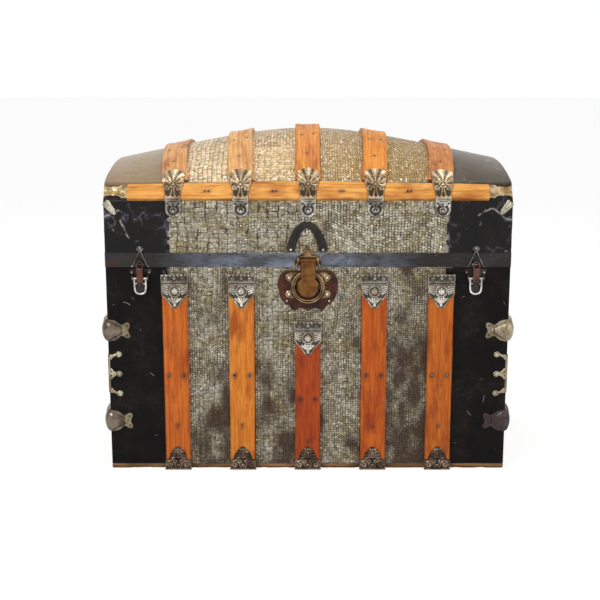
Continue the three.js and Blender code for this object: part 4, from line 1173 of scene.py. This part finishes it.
def dome_slats():
    """Slats over the dome, hollow on top."""
    for i, x in enumerate(slat_places):
        place = over_dome(x, seat_gap)
        _, radius, turn = crown_arc(x)
        length = 2 * radius * turn
        holes = [(-12.5, 0.30 * length), (12.5, 0.315 * length), (-2.0, 0.15 * length)]
        stains = [(a, s, 3.0) for a, s in holes + [(-a, length - s) for a, s in holes]]
        node = f"dome_slat_{i + 1}"
        slat(node, "lid", "dome_slat", dome_woods[i],
             place, slat_width, (0, length), dome_slat_thickness, 1.5, 20 + i, 90, stains)
        spots = [(place, a, s, dome_slat_thickness - 1.2) for a, s, _ in stains]
        nails(node + "_nails", "lid", spots, 2.2, 1.0)


def end_slats():
    """Slats along the ends of the box, with their tips under the bumpers."""
    for name, side in (("left", -1), ("right", 1)):
        for level in ("lower", "upper"):
            node = f"end_slat_{name}_{level}"
            low, high = box_of(node)
            place = on_end(side, (low[2] + high[2]) / 2)
            reach = half_depth - 40.0
            spots = [(a, s) for s in (-120.0, 0.0, 120.0) for a in (-10.0, 10.0)]
            stains = [(a, s, 3.4) for a, s in spots]
            slat(node, "box", "slat", end_wood, place, high[2] - low[2], (-reach, reach), slat_thickness,
                 0.3, 40 + low[2] / 50, 60, stains)
            nails(node + "_nails", "box", [(place, a, s, slat_thickness) for a, s in spots])


def bumper_place(side, end, height):
    """A place that wraps a corner of the box, from a tab on the front or back to the end slat."""
    flat = along_line([(half_depth, half_length - 43), (half_depth, half_length - 4),
                       (half_depth - 4, half_length), (half_depth - 43, half_length)], 0.0)

    def place(a, s, b):
        point = flat(a, s, -b)
        return np.stack([side * point[..., 2], end * point[..., 1], height + point[..., 0]], axis=-1)
    return place


def bumpers():
    """Corner bumpers: a smooth bulge on the corner, a waved tab on the front and a cap over the end slat."""
    corner, waist, reach = 41.5, 16.0, 84.0

    def half_width(s):
        return np.interp(s, [0, 2, 5, 8, 12, waist, 19, 23, 28, 34, 42, reach],
                         [12.5, 15, 15.8, 15, 12.2, 11.2, 12.4, 16.4, 19.6, 21, 22, 23])

    def tab_hem(a):
        return 2.6 * np.cos(np.clip(a / 11, -1, 1) * pi / 2) - 1.2 * noise(a / 4, 0 * a, 6)

    def cap(a, s):
        boxy = step(corner + 6, corner + 30, s)
        share = np.maximum(1 - np.abs(a / 22.4) ** (2.2 + 12 * boxy), 0)
        return 9.6 * share ** (0.6 - 0.35 * boxy) * step(corner - 2, corner + 4, s)

    def drop(a, s):
        """A drop-shaped bulge with its point towards the tab."""
        run = np.clip((s - 9.0) / (corner - 9.0), 0.001, 1)
        share = np.maximum(1 - np.abs(a / (21.5 * run**0.8)) ** 2.2, 0)
        return 10.6 * run**0.62 * share**0.62

    def holes(a, s):
        spots = hump(np.hypot(np.abs(a) - 9.5, s - 5.8), 2.3)
        return most(spots, 0.55 * np.clip(rough(a / 5, s / 6, 21) + 0.1, 0, 1))

    def smudge(a, s):
        return 0.3 * np.clip(noise(a / 7, s / 7, 5), 0, 1)

    for node in [n for n in frame["nodes"] if n.startswith("corner_bumper")]:
        low, high = box_of(node)
        middle = (low + high) / 2
        broken = node == "corner_bumper_front_right_lower"
        place = bumper_place(np.sign(middle[0]), np.sign(middle[1]), middle[2])

        def relief(a, s, broken=broken):
            torn = 0.5 + 0.4 * rough(a / 9, s / 8, 4) if broken else 1.0
            return most(cap(a, s), drop(a, s) * torn, 0.9 + 0.3 * rough(a / 5, s / 5, 9))

        name = node.replace("corner_", "")
        polished = champagne if node == "corner_bumper_front_right_upper" else bumper_steel
        tab_finish, cap_finish = (bruised, bruised) if broken else (champagne, polished)
        plate(name + "_tab", "box", "pewter", tab_finish, place, (0.0, waist), half_width, relief,
              hem=tab_hem, rows=33, columns=49, dark=holes)
        plate(name + "_cap", "box", "pewter", cap_finish, place, (waist, reach), half_width, relief,
              replaces=[node], rows=81, columns=49, dark=smudge)
        spots = [(place, a, 5.8, 1.2) for a in (-9.5, 9.5)] + [(place, a, 78.0, 10.6) for a in (-14.0, 14.0)]
        nails(name + "_nails", "box", spots, 1.5, 1.0)


def braces():
    """Three-fingered corner braces: a flat spine, bites between the fingers and a nail ring at each tip."""
    heights = (154.0, 190.5, 227.0)
    tip = 20.0
    circle = np.arange(12) * pi / 6
    for side in (-1, 1):
        for end in (-1, 1):
            bodies, spots = [], []
            faces = (
                (lambda a, s, b: stack(side * (half_length - s), end * (half_depth + b), a), (0, end, 0)),
                (lambda a, s, b: stack(side * (half_length + b), end * (half_depth - s), a), (side, 0, 0)),
            )
            for place, out in faces:
                def wire(points, radius, close=False, flat=0.42, place=place, out=out):
                    path = smooth_path(points, 6, close)
                    return tube(place(path[:, 1], path[:, 0], 0.9), radius, 10, close, flat, out)

                bodies.append(wire([(1.4, z) for z in np.linspace(heights[0] + 2, heights[2] - 2, 9)], 1.5))
                for index, height in enumerate(heights):
                    far = height + 0.06 * (height - heights[1])
                    around = [(tip + 4.1 * cos(g), far + 4.1 * sin(g)) for g in circle]
                    bodies.append(wire(around, 1.9, True, 0.9))
                    spots.append((place, far, tip, 0.4))
                    for way in ((1,), (-1, 1), (-1,))[index]:
                        arm = [(tip - 3.6, far), (13, far + 1.4 * way), (7.4, far + 4.6 * way)]
                        bodies.append(wire([*arm, (3.2, far + 10 * way)], 2.2))
                    inner = far + (3.2, 0, -3.2)[index]
                    bodies.append(wire([(10.5, inner), (6, inner), (2.4, inner)], 2.6))
            name = f"{'front' if end < 0 else 'back'}_{'left' if side < 0 else 'right'}_brace"
            piece(name, "box", "pewter", champagne, merge(bodies))
            nails(name + "_nails", "box", spots, 2.5, 1.5, bright_steel)


upright_slats()
dome_slats()
rail("lid_front_rail", lambda place: place)
rail("lid_back_rail", turned)
end_slats()
bumpers()
braces()


# Lock, band and latches

latch_reach = 315.0
lock_eye = 361.0
lug_spots = [(hand * 36.0, z) for hand in (-1, 1) for z in (346.5, 378.5)]


def lock_plates():
    """The scalloped backing and the lobed case with its dish, rings and rivets."""
    place = on_front(0.0)

    def back_half(s):
        return np.interp(392 - s, [0, 3, 8, 18, 32, 48, 58, 61, 66, 69, 74, 78],
                         [42, 47, 52, 56, 56.5, 53.5, 49, 45, 43, 38, 35, 30])

    def hem(a):
        return 5.5 * np.abs(np.sin(a * pi / 26)) * (np.abs(a) < 40)

    def back_relief(a, s):
        bulge = 1.6 * step(0, 9, back_half(s) - np.abs(a)) * step(36, 44, np.abs(a))
        return most(rim(back_half, a, s, 2.4, 1.4, 0.9), bulge, 0.3 * np.abs(noise(a / 6, s / 6, 3)))

    plate("lock_backing_plate", "box", "escutcheon", backing, place, (314, 392), back_half, back_relief,
          replaces=["lock_escutcheon"], hem=hem, rows=65, columns=73,
          dark=lambda a, s: 0.35 + 0.6 * noise(a / 16, s / 12, 8))

    def case_half(s):
        lobes = [np.where(np.abs(s - z) < 7.4, 36 + np.sqrt(np.maximum(7.4**2 - (s - z) ** 2, 0)), 0)
                 for z in (346.5, 378.5)]
        body = np.interp(s, [334, 336, 341, 352, 373, 384, 388], [8, 22, 35, 34.5, 34.5, 37, 36])
        return most(body, *lobes)

    def case_relief(a, s):
        away = np.hypot(a, s - lock_eye)
        dish = 4.6 * step(32.5, 30, away) - 4.2 * step(25, 22.5, away)
        edge = ridge(np.abs(a), s, [(35.5, 347), (35.5, 378)], 2.6, 1.2)
        return 1.2 + most(0 * a, dish, edge, press(a, s, *[(boss, spot, 7.0, 2.0) for spot in lug_spots]))

    def case_dark(a, s):
        away = np.hypot(a, s - lock_eye)
        lines = sum(hump(away - at, 1.3, 0.85) for at in (22.6, 27.8, 33))
        return lines + 0.35 * step(24, 21, away) + 0.4 * np.clip(noise(a / 5, s / 5, 12), 0, 1)

    plate("lock_case_plate", "box", "brass", brass, place, (334, 388), case_half, case_relief,
          replaces=["lock_case"], rows=73, columns=89, base=sheet_metal, dark=case_dark)
    nails("lock_rivets", "box", [(place, a, s, 5.0) for a, s in lug_spots], 2.7, 1.8, bright_steel)
    nails("backing_rivets", "box", [(place, a, 333.0, 1.8) for a in (-40.0, 40.0)], 2.0, 1.3, bright_steel)
    angles = np.linspace(0, 2 * pi, 65)[:-1]
    hoops = [tube(place(radius * np.cos(angles), lock_eye + radius * np.sin(angles), depth), wire, 8, True)
             for radius, depth, wire in ((30.2, 7.0, 1.1), (25.6, 6.8, 1.0))]
    piece("lock_rings", "box", "brass", brass, merge(hoops))


def arch(*half):
    """A path of which the second half mirrors the first; the last point given is in the middle."""
    return [*half, *[(-a, *others) for a, *others in half[-2::-1]]]


def lock_hasp():
    """The hasp with its staple, and the triangular plate on the lid that it swings from."""
    place = on_front(0.0)
    out = front - box_of("hasp")[0][1] - 3.5
    foot = lock_eye - 20.0
    knuckle_height, knuckle_out = 411.0, 7.6

    def wire(points, radius, sides):
        return tube(place(*np.asarray(points, float).T), radius, sides)

    def pin(reach, radius, sides):
        """A round bar on the axis that the hasp turns about."""
        axis = [(x, knuckle_height, knuckle_out) for x in np.linspace(-reach, reach, 5)]
        return wire(axis, radius, sides)

    def hasp_half(s):
        t = s - foot
        disc = np.sqrt(np.maximum(20**2 - (20 - np.minimum(t, 34)) ** 2, 0.4))
        return np.where(t < 34, np.maximum(disc, np.where(t > 20, 14.2, 0)), 14.2)

    def hasp_relief(a, s):
        leaf = smooth_path([(3, 398), (9, 392), (5, 385), (2, 380)])
        rays = [(ridge, [(0, lock_eye - 9), (10 * cos(g), lock_eye - 1 + 10 * sin(g))], 1.0, 0.9)
                for g in (0.3, 0.9, 1.57, 2.24, 2.84)]
        middle = press(a, s, *rays, (ring, (0, lock_eye), 17.4, 0.9, 1.0),
                       (boss, (0, lock_eye + 16), 2.2, 1.2))
        neck = 0.2 * step(14.4, 13.2, np.abs(a)) * step(383, 380, s)
        return most(middle, ridge(np.abs(a), s, leaf, 0.9, 0.7), neck)

    def hasp_dark(a, s):
        grime = 0.35 * np.clip(noise(a / 6, s / 8, 15), 0, 1)
        # Painted shade on the disc's lower rim, where it meets the dish.
        return grime + 0.5 * step(15, 19, np.hypot(a, s - lock_eye)) * (s < 366)

    half = [(5.2, out), (5.2, 7.0), (4.9, 3.2), (2.6, 2.0), (0.0, 1.9)]
    bend = [(0, lock_eye + s, b) for s, b in half] + [(0, lock_eye - s, b) for s, b in half[-2::-1]]
    staple = wire(smooth_path(bend), 1.5, 8)
    plate("hasp_tongue", "hasp", "brass", copper, place, (foot, 409), hasp_half, hasp_relief,
          extras=[pin(14.6, 4.0, 14), staple], replaces=["hasp"], rows=65, columns=37, base=out, sheet=2.4,
          dark=hasp_dark)

    def plate_half(s):
        return np.interp(s, [402, 407, 411, 434.5, 437.6], [25.5, 26, 24, 3.4, 2.6])

    def plate_relief(a, s):
        bars = [(ridge, [(-14, level), (14, level)], 1.1, 1.9) for level in (413.2, 418.0)]
        lattice = [(ridge, [(k - lean, 419), (k + lean, 431)], 0.7, 1.0)
                   for k in (-8, -4, 0, 4, 8) for lean in (-6, 6)]
        return most(press(a, s, *bars, *lattice), rim(plate_half, a, s, 1.8, 1.2, 2.2) * (s > 409),
                    rim(plate_half, a, s, 6.2, 1.0, 1.7) * (s > 413))

    bodies = [wire([(x, 435.0, 1.4) for x in (-0.6, 0.0, 0.6)], 3.8, 12)]
    for hand in (-1, 1):
        ear = [(hand * 18.3, s, b) for s, b in ((404, 2.2), (407, 6.4), (411, 7.6), (415, 6.4), (417, 2.2))]
        knob = [(hand * 21.5, 400.4, 2.6), (hand * 20.5, 403.5, 3.4), (hand * 19, 407, 3.2)]
        bodies += [wire(smooth_path(ear, 4), 2.9, 10), wire(smooth_path(knob, 4), 2.4, 10)]
    bodies.append(pin(20, 1.6, 8))
    plate("hasp_plate", "lid", "brass", brass, place, (402, 437.6), plate_half, plate_relief, extras=bodies,
          rows=57, columns=53, base=1.0, bite=1.8)


def band():
    """The strip of steel round the foot of the lid, wrapped close to the tin, with its nails."""
    height, ends, count = 27.0, 6.0, 80
    s, x, y, way = wrap_path(half_depth, 1.2, 120)
    keep = s < s[-1] - (half_length - embossed_half) - ends
    x = np.concatenate([np.linspace(0, embossed_half, count, endpoint=False), x[keep]])
    y = np.concatenate([np.full(count, front), y[keep]])
    way = np.concatenate([np.tile([0.0, -1.0], (count, 1)), way[keep]])
    x, y = np.concatenate([-x[:0:-1], x]), np.concatenate([y[:0:-1], y])
    way = np.concatenate([way[:0:-1] * np.array([-1, 1]), way])
    z = np.linspace(seam_height + seat_gap, seam_height + height, 13)
    along, grid_z = np.meshgrid(np.arange(len(x)), z, indexing="ij")
    rolled = hump(z - z[0], 1.5, 0.35) + hump(z - z[-1], 1.5, 0.3)
    out = np.minimum(0.75 + 0.6 * rolled[None, :] + 0.22 * noise(along / 9, grid_z / 14, 5), 1.0)
    beside = beside_path(x, y, way, grid_z)
    shape = shell(beside(out), beside(np.full(out.shape, 0.1)))
    piece("lid_band_strip", "lid", "band", band_steel, shape, ["lid_band"], 60)
    place = on_front(0.0)
    upper = (-246.0, -185.0, -116.0, -48.0, 51.0, 113.0, 183.0, 240.0, 342.0)
    nails("band_nails", "lid", [(place, a, 421.0, 0.8) for a in upper], 1.9, 1.2)
    lower = (-180.0, -142.0, 74.0, 184.0, 222.0)
    nails("seam_nails", "box", [(place, a, 389.0, 0.1) for a in lower], 2.0, 1.3)


def latch(name, side):
    """A draw latch: two rods in an A on the lid, a short tongue under a small arch, and a bright bail."""
    axis_out, axis_height, hook_height, tip_out = 9.5, 378.0, 368.0, 13.2
    place = on_front(side * latch_reach)

    def wire(points, radius, steps=5, close=False, sides=8, flat=1.0):
        return tube(place(*smooth_path(points, steps, close).T), radius, sides, close, flat)

    def bar(reach, height, radius, steps=5, sides=8):
        return wire([(a, height, axis_out) for a in (-reach, 0, reach)], radius, steps, sides=sides)

    rods = []
    for hand in (-1, 1):
        leg = ((17, 399.4, 3.4), (13.5, 401, 3.2), (9.6, 409, 3.0), (2.2, 426, 2.6), (0, 430, 3.0))
        hook = ((2, 429, 2.4), (5.4, 432, 2.2), (5.8, 435.5, 2.0))
        rods.append(wire([(hand * a, s, b) for a, s, b in leg], 1.5))
        rods.append(wire([(hand * a, s, b) for a, s, b in hook], 1.1))
    circle = [(3.4 * cos(g), 434 + 3.4 * sin(g), 2.4) for g in np.arange(12) * pi / 6]
    rods.append(wire(circle, 1.4, 2, True))
    rods.append(wire(arch((-8, 404, 2.5), (-7, 404.5, 8), (0, 404.5, 9)), 1.7))
    piece(f"latch_catch_{name}", "lid", "steel", dark_steel, merge(rods))
    nails(f"latch_catch_nail_{name}", "lid", [(place, 0.0, 434.0, 1.2)], 2.2, 1.6, bright_steel)

    def base_half(s):
        return np.interp(s, [346, 352, 366, 380, 388, 394], [5, 8, 10, 17, 21.5, 20])

    def base_relief(a, s):
        return most(rim(base_half, a, s, 1.5, 1.1, 0.9),
                    press(np.abs(a), s, (boss, (16, 388), 4, 1.0), (boss, (0, 351), 3.4, 1.2)))

    lug = ((373, 1.4), (374, 9), (378, 13), (382, 9), (383, 1.4))
    lugs = [wire([(hand * 14.3, s, b) for s, b in lug], 1.5, 4) for hand in (-1, 1)]
    plate(f"latch_plate_{name}", "box", "rusty_iron", dark_steel, place, (346, 394), base_half, base_relief,
          extras=lugs, replaces=[f"latch_base_{name}"], rows=41, columns=33, dark=lambda a, s: 0.75 + 0 * a)
    heads = [(place, a, 388.0, 1.6) for a in (-16.0, 16.0)]
    nails(f"latch_plate_nails_{name}", "box", heads, 2.5, 1.5, champagne)

    bail = arch((-10.5, axis_height), (-10.5, 371), (-10.3, 360), (-8.2, 351.5), (0, 348.4))
    bodies = [wire([(a, s, axis_out) for a, s in bail], 1.9, 6, sides=10)]
    bodies += [bar(14.8, axis_height, 1.8), bar(10.5, hook_height, 1.4)]
    lever, tongue = f"latch_lever_{name}", f"latch_hook_{name}"
    piece(f"latch_bail_{name}", lever, "steel", bright_steel, merge(bodies), [lever])

    def tongue_half(s):
        return np.interp(s, [360, 362, 368, 396, 398], [4.0, 5.8, 6.4, 6.6, 5.6])

    def tongue_relief(a, s):
        return most(rim(tongue_half, a, s, 1.2, 0.9, 0.7), boss(a, s, (0, 363.4), 2.6, 1.4),
                    0.8 * step(389, 391, s))

    tip = arch((-5.6, 396), (-5.4, 403), (-3.4, 408.6), (0, 410.4))
    bodies = [bar(6.4, hook_height, 3.4, 4, 12), wire([(a, s, tip_out) for a, s in tip], 1.3)]
    bodies.append(wire([(0, 409.9, tip_out), (0, 410.0, 11.5), (0, 409.4, 9.4)], 3.0, flat=0.3))
    plate(f"latch_tongue_{name}", tongue, "rusty_iron", rusty_iron, place, (360, 398), tongue_half,
          tongue_relief, extras=bodies, replaces=[tongue], rows=33, columns=17, base=12.1, sheet=1.4,
          dark=lambda a, s: 0.9 * step(376, 366, s) + 0 * a)


lock_plates()
lock_hasp()
band()
latch("left", -1)
latch("right", 1)


# Leather

def strap(path, ways, width, thickness, seed=0):
    """A flat strap with round edges along a path; ways are its outward directions. Rubbed along its edges."""
    path, ways = np.asarray(path, float), np.asarray(ways, float)
    ahead = np.gradient(path, axis=0)
    ahead /= np.linalg.norm(ahead, axis=1)[:, None]
    across = np.cross(ahead, ways)
    angles = np.arange(20) * 2 * pi / 20
    width = np.broadcast_to(width, len(path))
    a = np.sign(np.cos(angles)) * np.abs(np.cos(angles)) ** 0.45 / 2
    b = np.sign(np.sin(angles)) * np.abs(np.sin(angles)) ** 0.7 * thickness / 2
    length = np.concatenate([[0], np.cumsum(np.linalg.norm(np.diff(path, axis=0), axis=1))])
    wide = width * (1 + 0.05 * noise(length / 25, 0, seed))
    spread = across[:, None] * (a[None, :, None] * wide[:, None, None]) + ways[:, None] * b[None, :, None]
    rub = 0.55 * (np.abs(a) > 0.46)[None, :] * (0.5 + 0.5 * noise(length / 8, 1, seed))[:, None]
    return loft(path[:, None] + spread), np.clip(rub, 0, 1).ravel()


def stitches(path, ways, width, thickness):
    """Rows of short stitches near both edges of a strap."""
    ahead = np.gradient(path, axis=0)
    ahead /= np.linalg.norm(ahead, axis=1)[:, None]
    across = np.cross(ahead, ways)
    bodies = []
    for hand in (-1, 1):
        for k in range(2, len(path) - 2, 2):
            middle = path[k] + across[k] * hand * (width / 2 - 2.4) + ways[k] * (thickness / 2 - 0.1)
            bodies.append(tube([middle - 1.3 * ahead[k], middle, middle + 1.3 * ahead[k]], 0.45, 6))
    return merge(bodies)


def lift_loop():
    """The loop that lifts the lid: an arch of strap with spread feet, flat to the front and nailed."""
    low, high = box_of("lift_loop")
    middle, depth, thick = (low[0] + high[0]) / 2, (low[1] + high[1]) / 2, 3.4
    foot, arm, top = 429.0, (high[0] - low[0]) / 2 - 9.3, high[2] - 5.8
    rise = top - foot
    points = arch((-1.0, 0.0), (-0.93, 0.24), (-0.78, 0.52), (-0.55, 0.78), (-0.28, 0.95), (0.0, 1.0))
    path = smooth_path([(middle + a * arm, depth, foot + z * rise) for a, z in points], 5)
    ways = np.tile([0.0, -1.0, 0.0], (len(path), 1))
    width = 11.5 + 6.0 * np.abs(path[:, 0] - middle) / arm
    shape, rub = strap(path, ways, width, thick, 3)
    piece("lift_loop_strap", "lift_loop", "leather", strap_leather, shape, ["lift_loop"], rub=rub)
    spots = [(on_front(middle), hand * arm, 431.5, 4.2) for hand in (-1, 1)]
    nails("lift_loop_nails", "lift_loop", spots, 2.0, 0.9, bright_steel)


def handles():
    """Bowed leather handles on the ends, held at both ends by pressed caps."""
    for name, side in (("left", -1), ("right", 1)):
        low, high = box_of(f"handle_{name}")
        height, place = (low[2] + high[2]) / 2, on_end(side, (low[2] + high[2]) / 2)
        width, thick, span = high[2] - low[2], 5.0, 180.0
        bow = (high[0] - low[0]) - thick
        s = np.linspace(low[1], high[1], 61)
        lift = np.where(np.abs(s) < span / 2, bow * (1 + np.cos(2 * pi * s / span)) / 2, 0)
        path = stack(side * (half_length + seat_gap + thick / 2 + lift), s, height)
        slope = np.gradient(lift, s)
        ways = stack(side / np.sqrt(1 + slope**2), -slope / np.sqrt(1 + slope**2), 0.0)
        shape, rub = strap(path, ways, width - 0.4, thick - 0.2, 5)
        piece(f"handle_{name}_strap", "box", "leather", handle_leather, shape, [f"handle_{name}"], rub=rub)
        sewn = stitches(path, ways, width, thick - 1.0)
        piece(f"handle_{name}_stitches", "box", "leather", strap_leather, sewn, rub=np.ones(len(sewn[0])))
        for end in (-1, 1):
            def cap_half(s, end=end):
                t = np.clip((end * s - span / 2) / 44, 0, 1)
                return 22 * np.interp(t, [0, 0.12, 0.45, 0.75, 0.93, 1], [0.86, 1, 0.98, 0.9, 0.62, 0.2])

            def cap_relief(a, s, end=end):
                t = end * s - span / 2
                over = 5.0 * step(19.5, 16.5, np.abs(a)) * step(37, 34, t)
                middle = press(a, t, (boss, (0, 18), 7, 1.5), (ring, (0, 18), 11, 1.2, 0.9))
                return most(over + middle, boss(np.abs(a), t, (18.5, 22), 3, 1.0))

            ends = sorted((end * span / 2, end * (span / 2 + 44)))
            cap_name = f"handle_{name}_cap_{'front' if end < 0 else 'back'}"
            plate(cap_name, "box", "pewter", dark_pewter, place, ends, cap_half, cap_relief,
                  rows=45, columns=45)
            spots = [(place, a, end * (span / 2 + 22), 1.4) for a in (-18.6, 18.6)]
            nails(cap_name + "_nails", "box", spots, 1.9, 1.3)


lift_loop()
handles()


# Corners of the lid and the foot of the box

def lid_corners():
    """Caps past each rail's ends: a torn fold of tin on the bevel and a leaf of nickel down the wall."""
    slant = radians(52)

    def fold_half(s):
        return rail_width / 2 - 4.5 - 5 * step(340, 362, s) * step(386, 372, s) + 1.4 * noise(s / 4, 0, 3)

    def fold_relief(a, s):
        return 1.0 + 1.1 * rough(s / 8, a / 6, 5) + ridge(a, s, [(rail_half, 3), (half_length, 9)], 2.5, 1.0)

    def leaf_half(s):
        return np.interp(s, [0, 5, 14, 22, 28, 31, 33], [5, 8, 7, 6, 5.4, 4, 1])

    def leaf_relief(a, s):
        share = np.abs(a) / leaf_half(s)
        swell = 1.6 * np.sqrt(np.maximum(1 - share**2, 0))
        vein = 0.8 * np.abs(np.sin((s + 1.6 * np.abs(a)) * pi / 4.5)) * step(26, 20, s)
        stalk = press(a, s, (ridge, [(0, 2), (0, 22)], 1.1, 2.8), (ring, (0, 27), 3.6, 1.0, 2.6))
        return most(swell + vein, stalk)

    for end_name, around in (("front", lambda place: place), ("back", turned)):
        for hand, side in (("left", -1), ("right", 1)):
            def fold(a, s, b, side=side):
                return along_bevel(a, side * s, b)
            def leaf(a, s, b, side=side):
                x = half_length - 2 - s * cos(slant) - a * sin(slant)
                z = wall_top + 1 - s * sin(slant) + a * cos(slant)
                return stack(side * x, front - b, z)

            name = f"lid_corner_{end_name}_{hand}"
            span = (rail_half - 1.0, half_length - 0.5)
            plate(name + "_fold", "lid", "pewter", torn_tin, around(fold), span,
                  fold_half, fold_relief, rows=33, columns=29, bite=1.6)
            plate(name + "_leaf", "lid", "pewter", nickel, around(leaf), (2.0, 33.0),
                  leaf_half, leaf_relief, rows=41, columns=21, bite=2.4)
            nails(name + "_nail", "lid", [(around(leaf), 0.0, 27.0, 1.6)], 1.9, 1.4)


def chipped_board():
    """The bottom board, worn, chipped and ragged along its foot."""
    along, across = 300, 150
    x, y = half_length, half_depth
    corners = [(-x, -y), (x, -y), (x, y), (-x, y)]
    points = []
    for (x0, y0), (x1, y1) in zip(corners, corners[1:] + corners[:1]):
        count = along if y0 == y1 else across
        points += [(x0 + (x1 - x0) * k / count, y0 + (y1 - y0) * k / count) for k in range(count)]
    points = np.array(points)
    share = points / np.array([x, y])
    inward = np.where(np.abs(share) > 0.999, -np.sign(share), 0)
    run = np.arange(len(points))
    ragged = 1.6 * np.maximum(rough(run / 12, 3 + 0 * run, 13), 0)
    rings = []
    levels = ((0.0, 2.0, 1.0), (1.4, 0.9, 0.9), (5.0, 0.0, 0.0), (8.6, 0.2, 0.0), (board_top, 0.8, 0.0))
    for z, round_in, lift in levels:
        chip = 1.7 * np.maximum(rough(run / 9, z / 6 + 3, 13) - 0.05, 0)
        chip = chip + 1.4 * step(0.4, 0.6, noise(run / 4, z / 9, 19)) * (z < 3)
        spot = points + inward * (round_in + chip)[:, None]
        rings.append(np.column_stack([spot, z + lift * ragged]))
    piece("bottom_board_worn", "box", "board", worn_board, loft(np.array(rings)), ["bottom_board"], 50)


lid_corners()
chipped_board()


# Pieces that keep their CAD shape

def dress(nodes, finish):
    for node in nodes:
        mesh = frame["nodes"][node].data
        mesh.materials.clear()
        mesh.materials.append(finish)


dress(["box_front_wall", "box_back_wall", "lid_frame", "dome_boards", "tray"], board_long)
dress(["box_left_end", "box_right_end"], board_cross)
dress(["lock_bolt"], backing)
dress([node for node in frame["nodes"] if node.startswith("hinge")], hinge_metal)


# Stage, lamps and camera

def seen_rays(nodes, links):
    """1 for what the camera, gloss and glass see, 0 for the light that falls on things."""
    path = nodes.new("ShaderNodeLightPath")
    value = path.outputs["Is Camera Ray"]
    for kind in ("Is Glossy Ray", "Is Transmission Ray"):
        either = nodes.new("ShaderNodeMath")
        either.operation = "MAXIMUM"
        links.new(value, either.inputs[0])
        links.new(path.outputs[kind], either.inputs[1])
        value = either.outputs[0]
    return value


def stage(white_share, white_strength):
    """A pale floor that looks white and keeps the trunk's shadow."""
    reach = 30.0
    mesh = bpy.data.meshes.new("floor")
    corners = [(-reach, -reach, 0), (reach, -reach, 0), (reach, reach, 0), (-reach, reach, 0)]
    mesh.from_pydata(corners, [], [(0, 1, 2, 3)])
    material = bpy.data.materials.new("pale_floor")
    material.use_nodes = True
    nodes, links = material.node_tree.nodes, material.node_tree.links
    plain = nodes["Principled BSDF"]
    plain.inputs["Base Color"].default_value = (0.9, 0.9, 0.9, 1)
    plain.inputs["Roughness"].default_value = 0.8
    plain.inputs["Specular IOR Level"].default_value = 0.1
    white = nodes.new("ShaderNodeEmission")
    white.inputs["Color"].default_value = (1, 1, 1, 1)
    white.inputs["Strength"].default_value = white_strength
    blend = nodes.new("ShaderNodeMixShader")
    share = nodes.new("ShaderNodeMath")
    share.operation = "MULTIPLY"
    share.inputs[1].default_value = white_share
    links.new(seen_rays(nodes, links), share.inputs[0])
    links.new(share.outputs[0], blend.inputs["Fac"])
    links.new(plain.outputs["BSDF"], blend.inputs[1])
    links.new(white.outputs["Emission"], blend.inputs[2])
    links.new(blend.outputs["Shader"], nodes["Material Output"].inputs["Surface"])
    mesh.materials.append(material)
    put("floor", mesh)


def world(ambient):
    """A white surround for what the camera and gloss see, and a dimmer one for the rest."""
    sky = bpy.data.worlds.new("studio")
    bpy.context.scene.world = sky
    sky.use_nodes = True
    nodes, links = sky.node_tree.nodes, sky.node_tree.links
    back = nodes["Background"]
    back.inputs["Color"].default_value = (1, 1, 1, 1)
    level = nodes.new("ShaderNodeMapRange")
    level.inputs["To Min"].default_value = ambient
    level.inputs["To Max"].default_value = 1.0
    links.new(seen_rays(nodes, links), level.inputs["Value"])
    links.new(level.outputs["Result"], back.inputs["Strength"])


def lamp(name, place, target, size, watts):
    light = bpy.data.lights.new(name, "AREA")
    light.energy = watts
    light.shape = "RECTANGLE"
    light.size, light.size_y = size
    thing = put(name, light)
    thing.location = place
    way = np.array(target) - np.array(place)
    tilt = pi / 2 + atan2(way[2], hypot(way[0], way[1]))
    thing.rotation_euler = (tilt, 0, atan2(-way[0], way[1]))


def camera():
    """A camera at the photograph's viewing angle."""
    view = bpy.data.cameras.new("photo_view")
    thing = put("photo_view", view)
    focal_share = 1117.5 / 600
    view.sensor_width = 36
    view.lens = focal_share * view.sensor_width
    view.clip_end = 100
    thing.location = (-0.015, -2.2987, 0.762)
    thing.rotation_euler = (radians(78.34), 0, 0)
    bpy.context.scene.camera = thing


stage(0.72, 1.16)
world(0.5)
lamp("key", (-1.6, -2.2, 2.0), (0, 0, 0.35), (1.2, 1.0), 44)
lamp("fill", (2.2, -1.8, 1.2), (0, 0, 0.3), (1.2, 1.2), 20)
lamp("top", (0.2, 0.4, 2.8), (0, 0, 0.5), (1.6, 1.4), 20)
camera()
bpy.context.scene.view_settings.view_transform = "Standard"
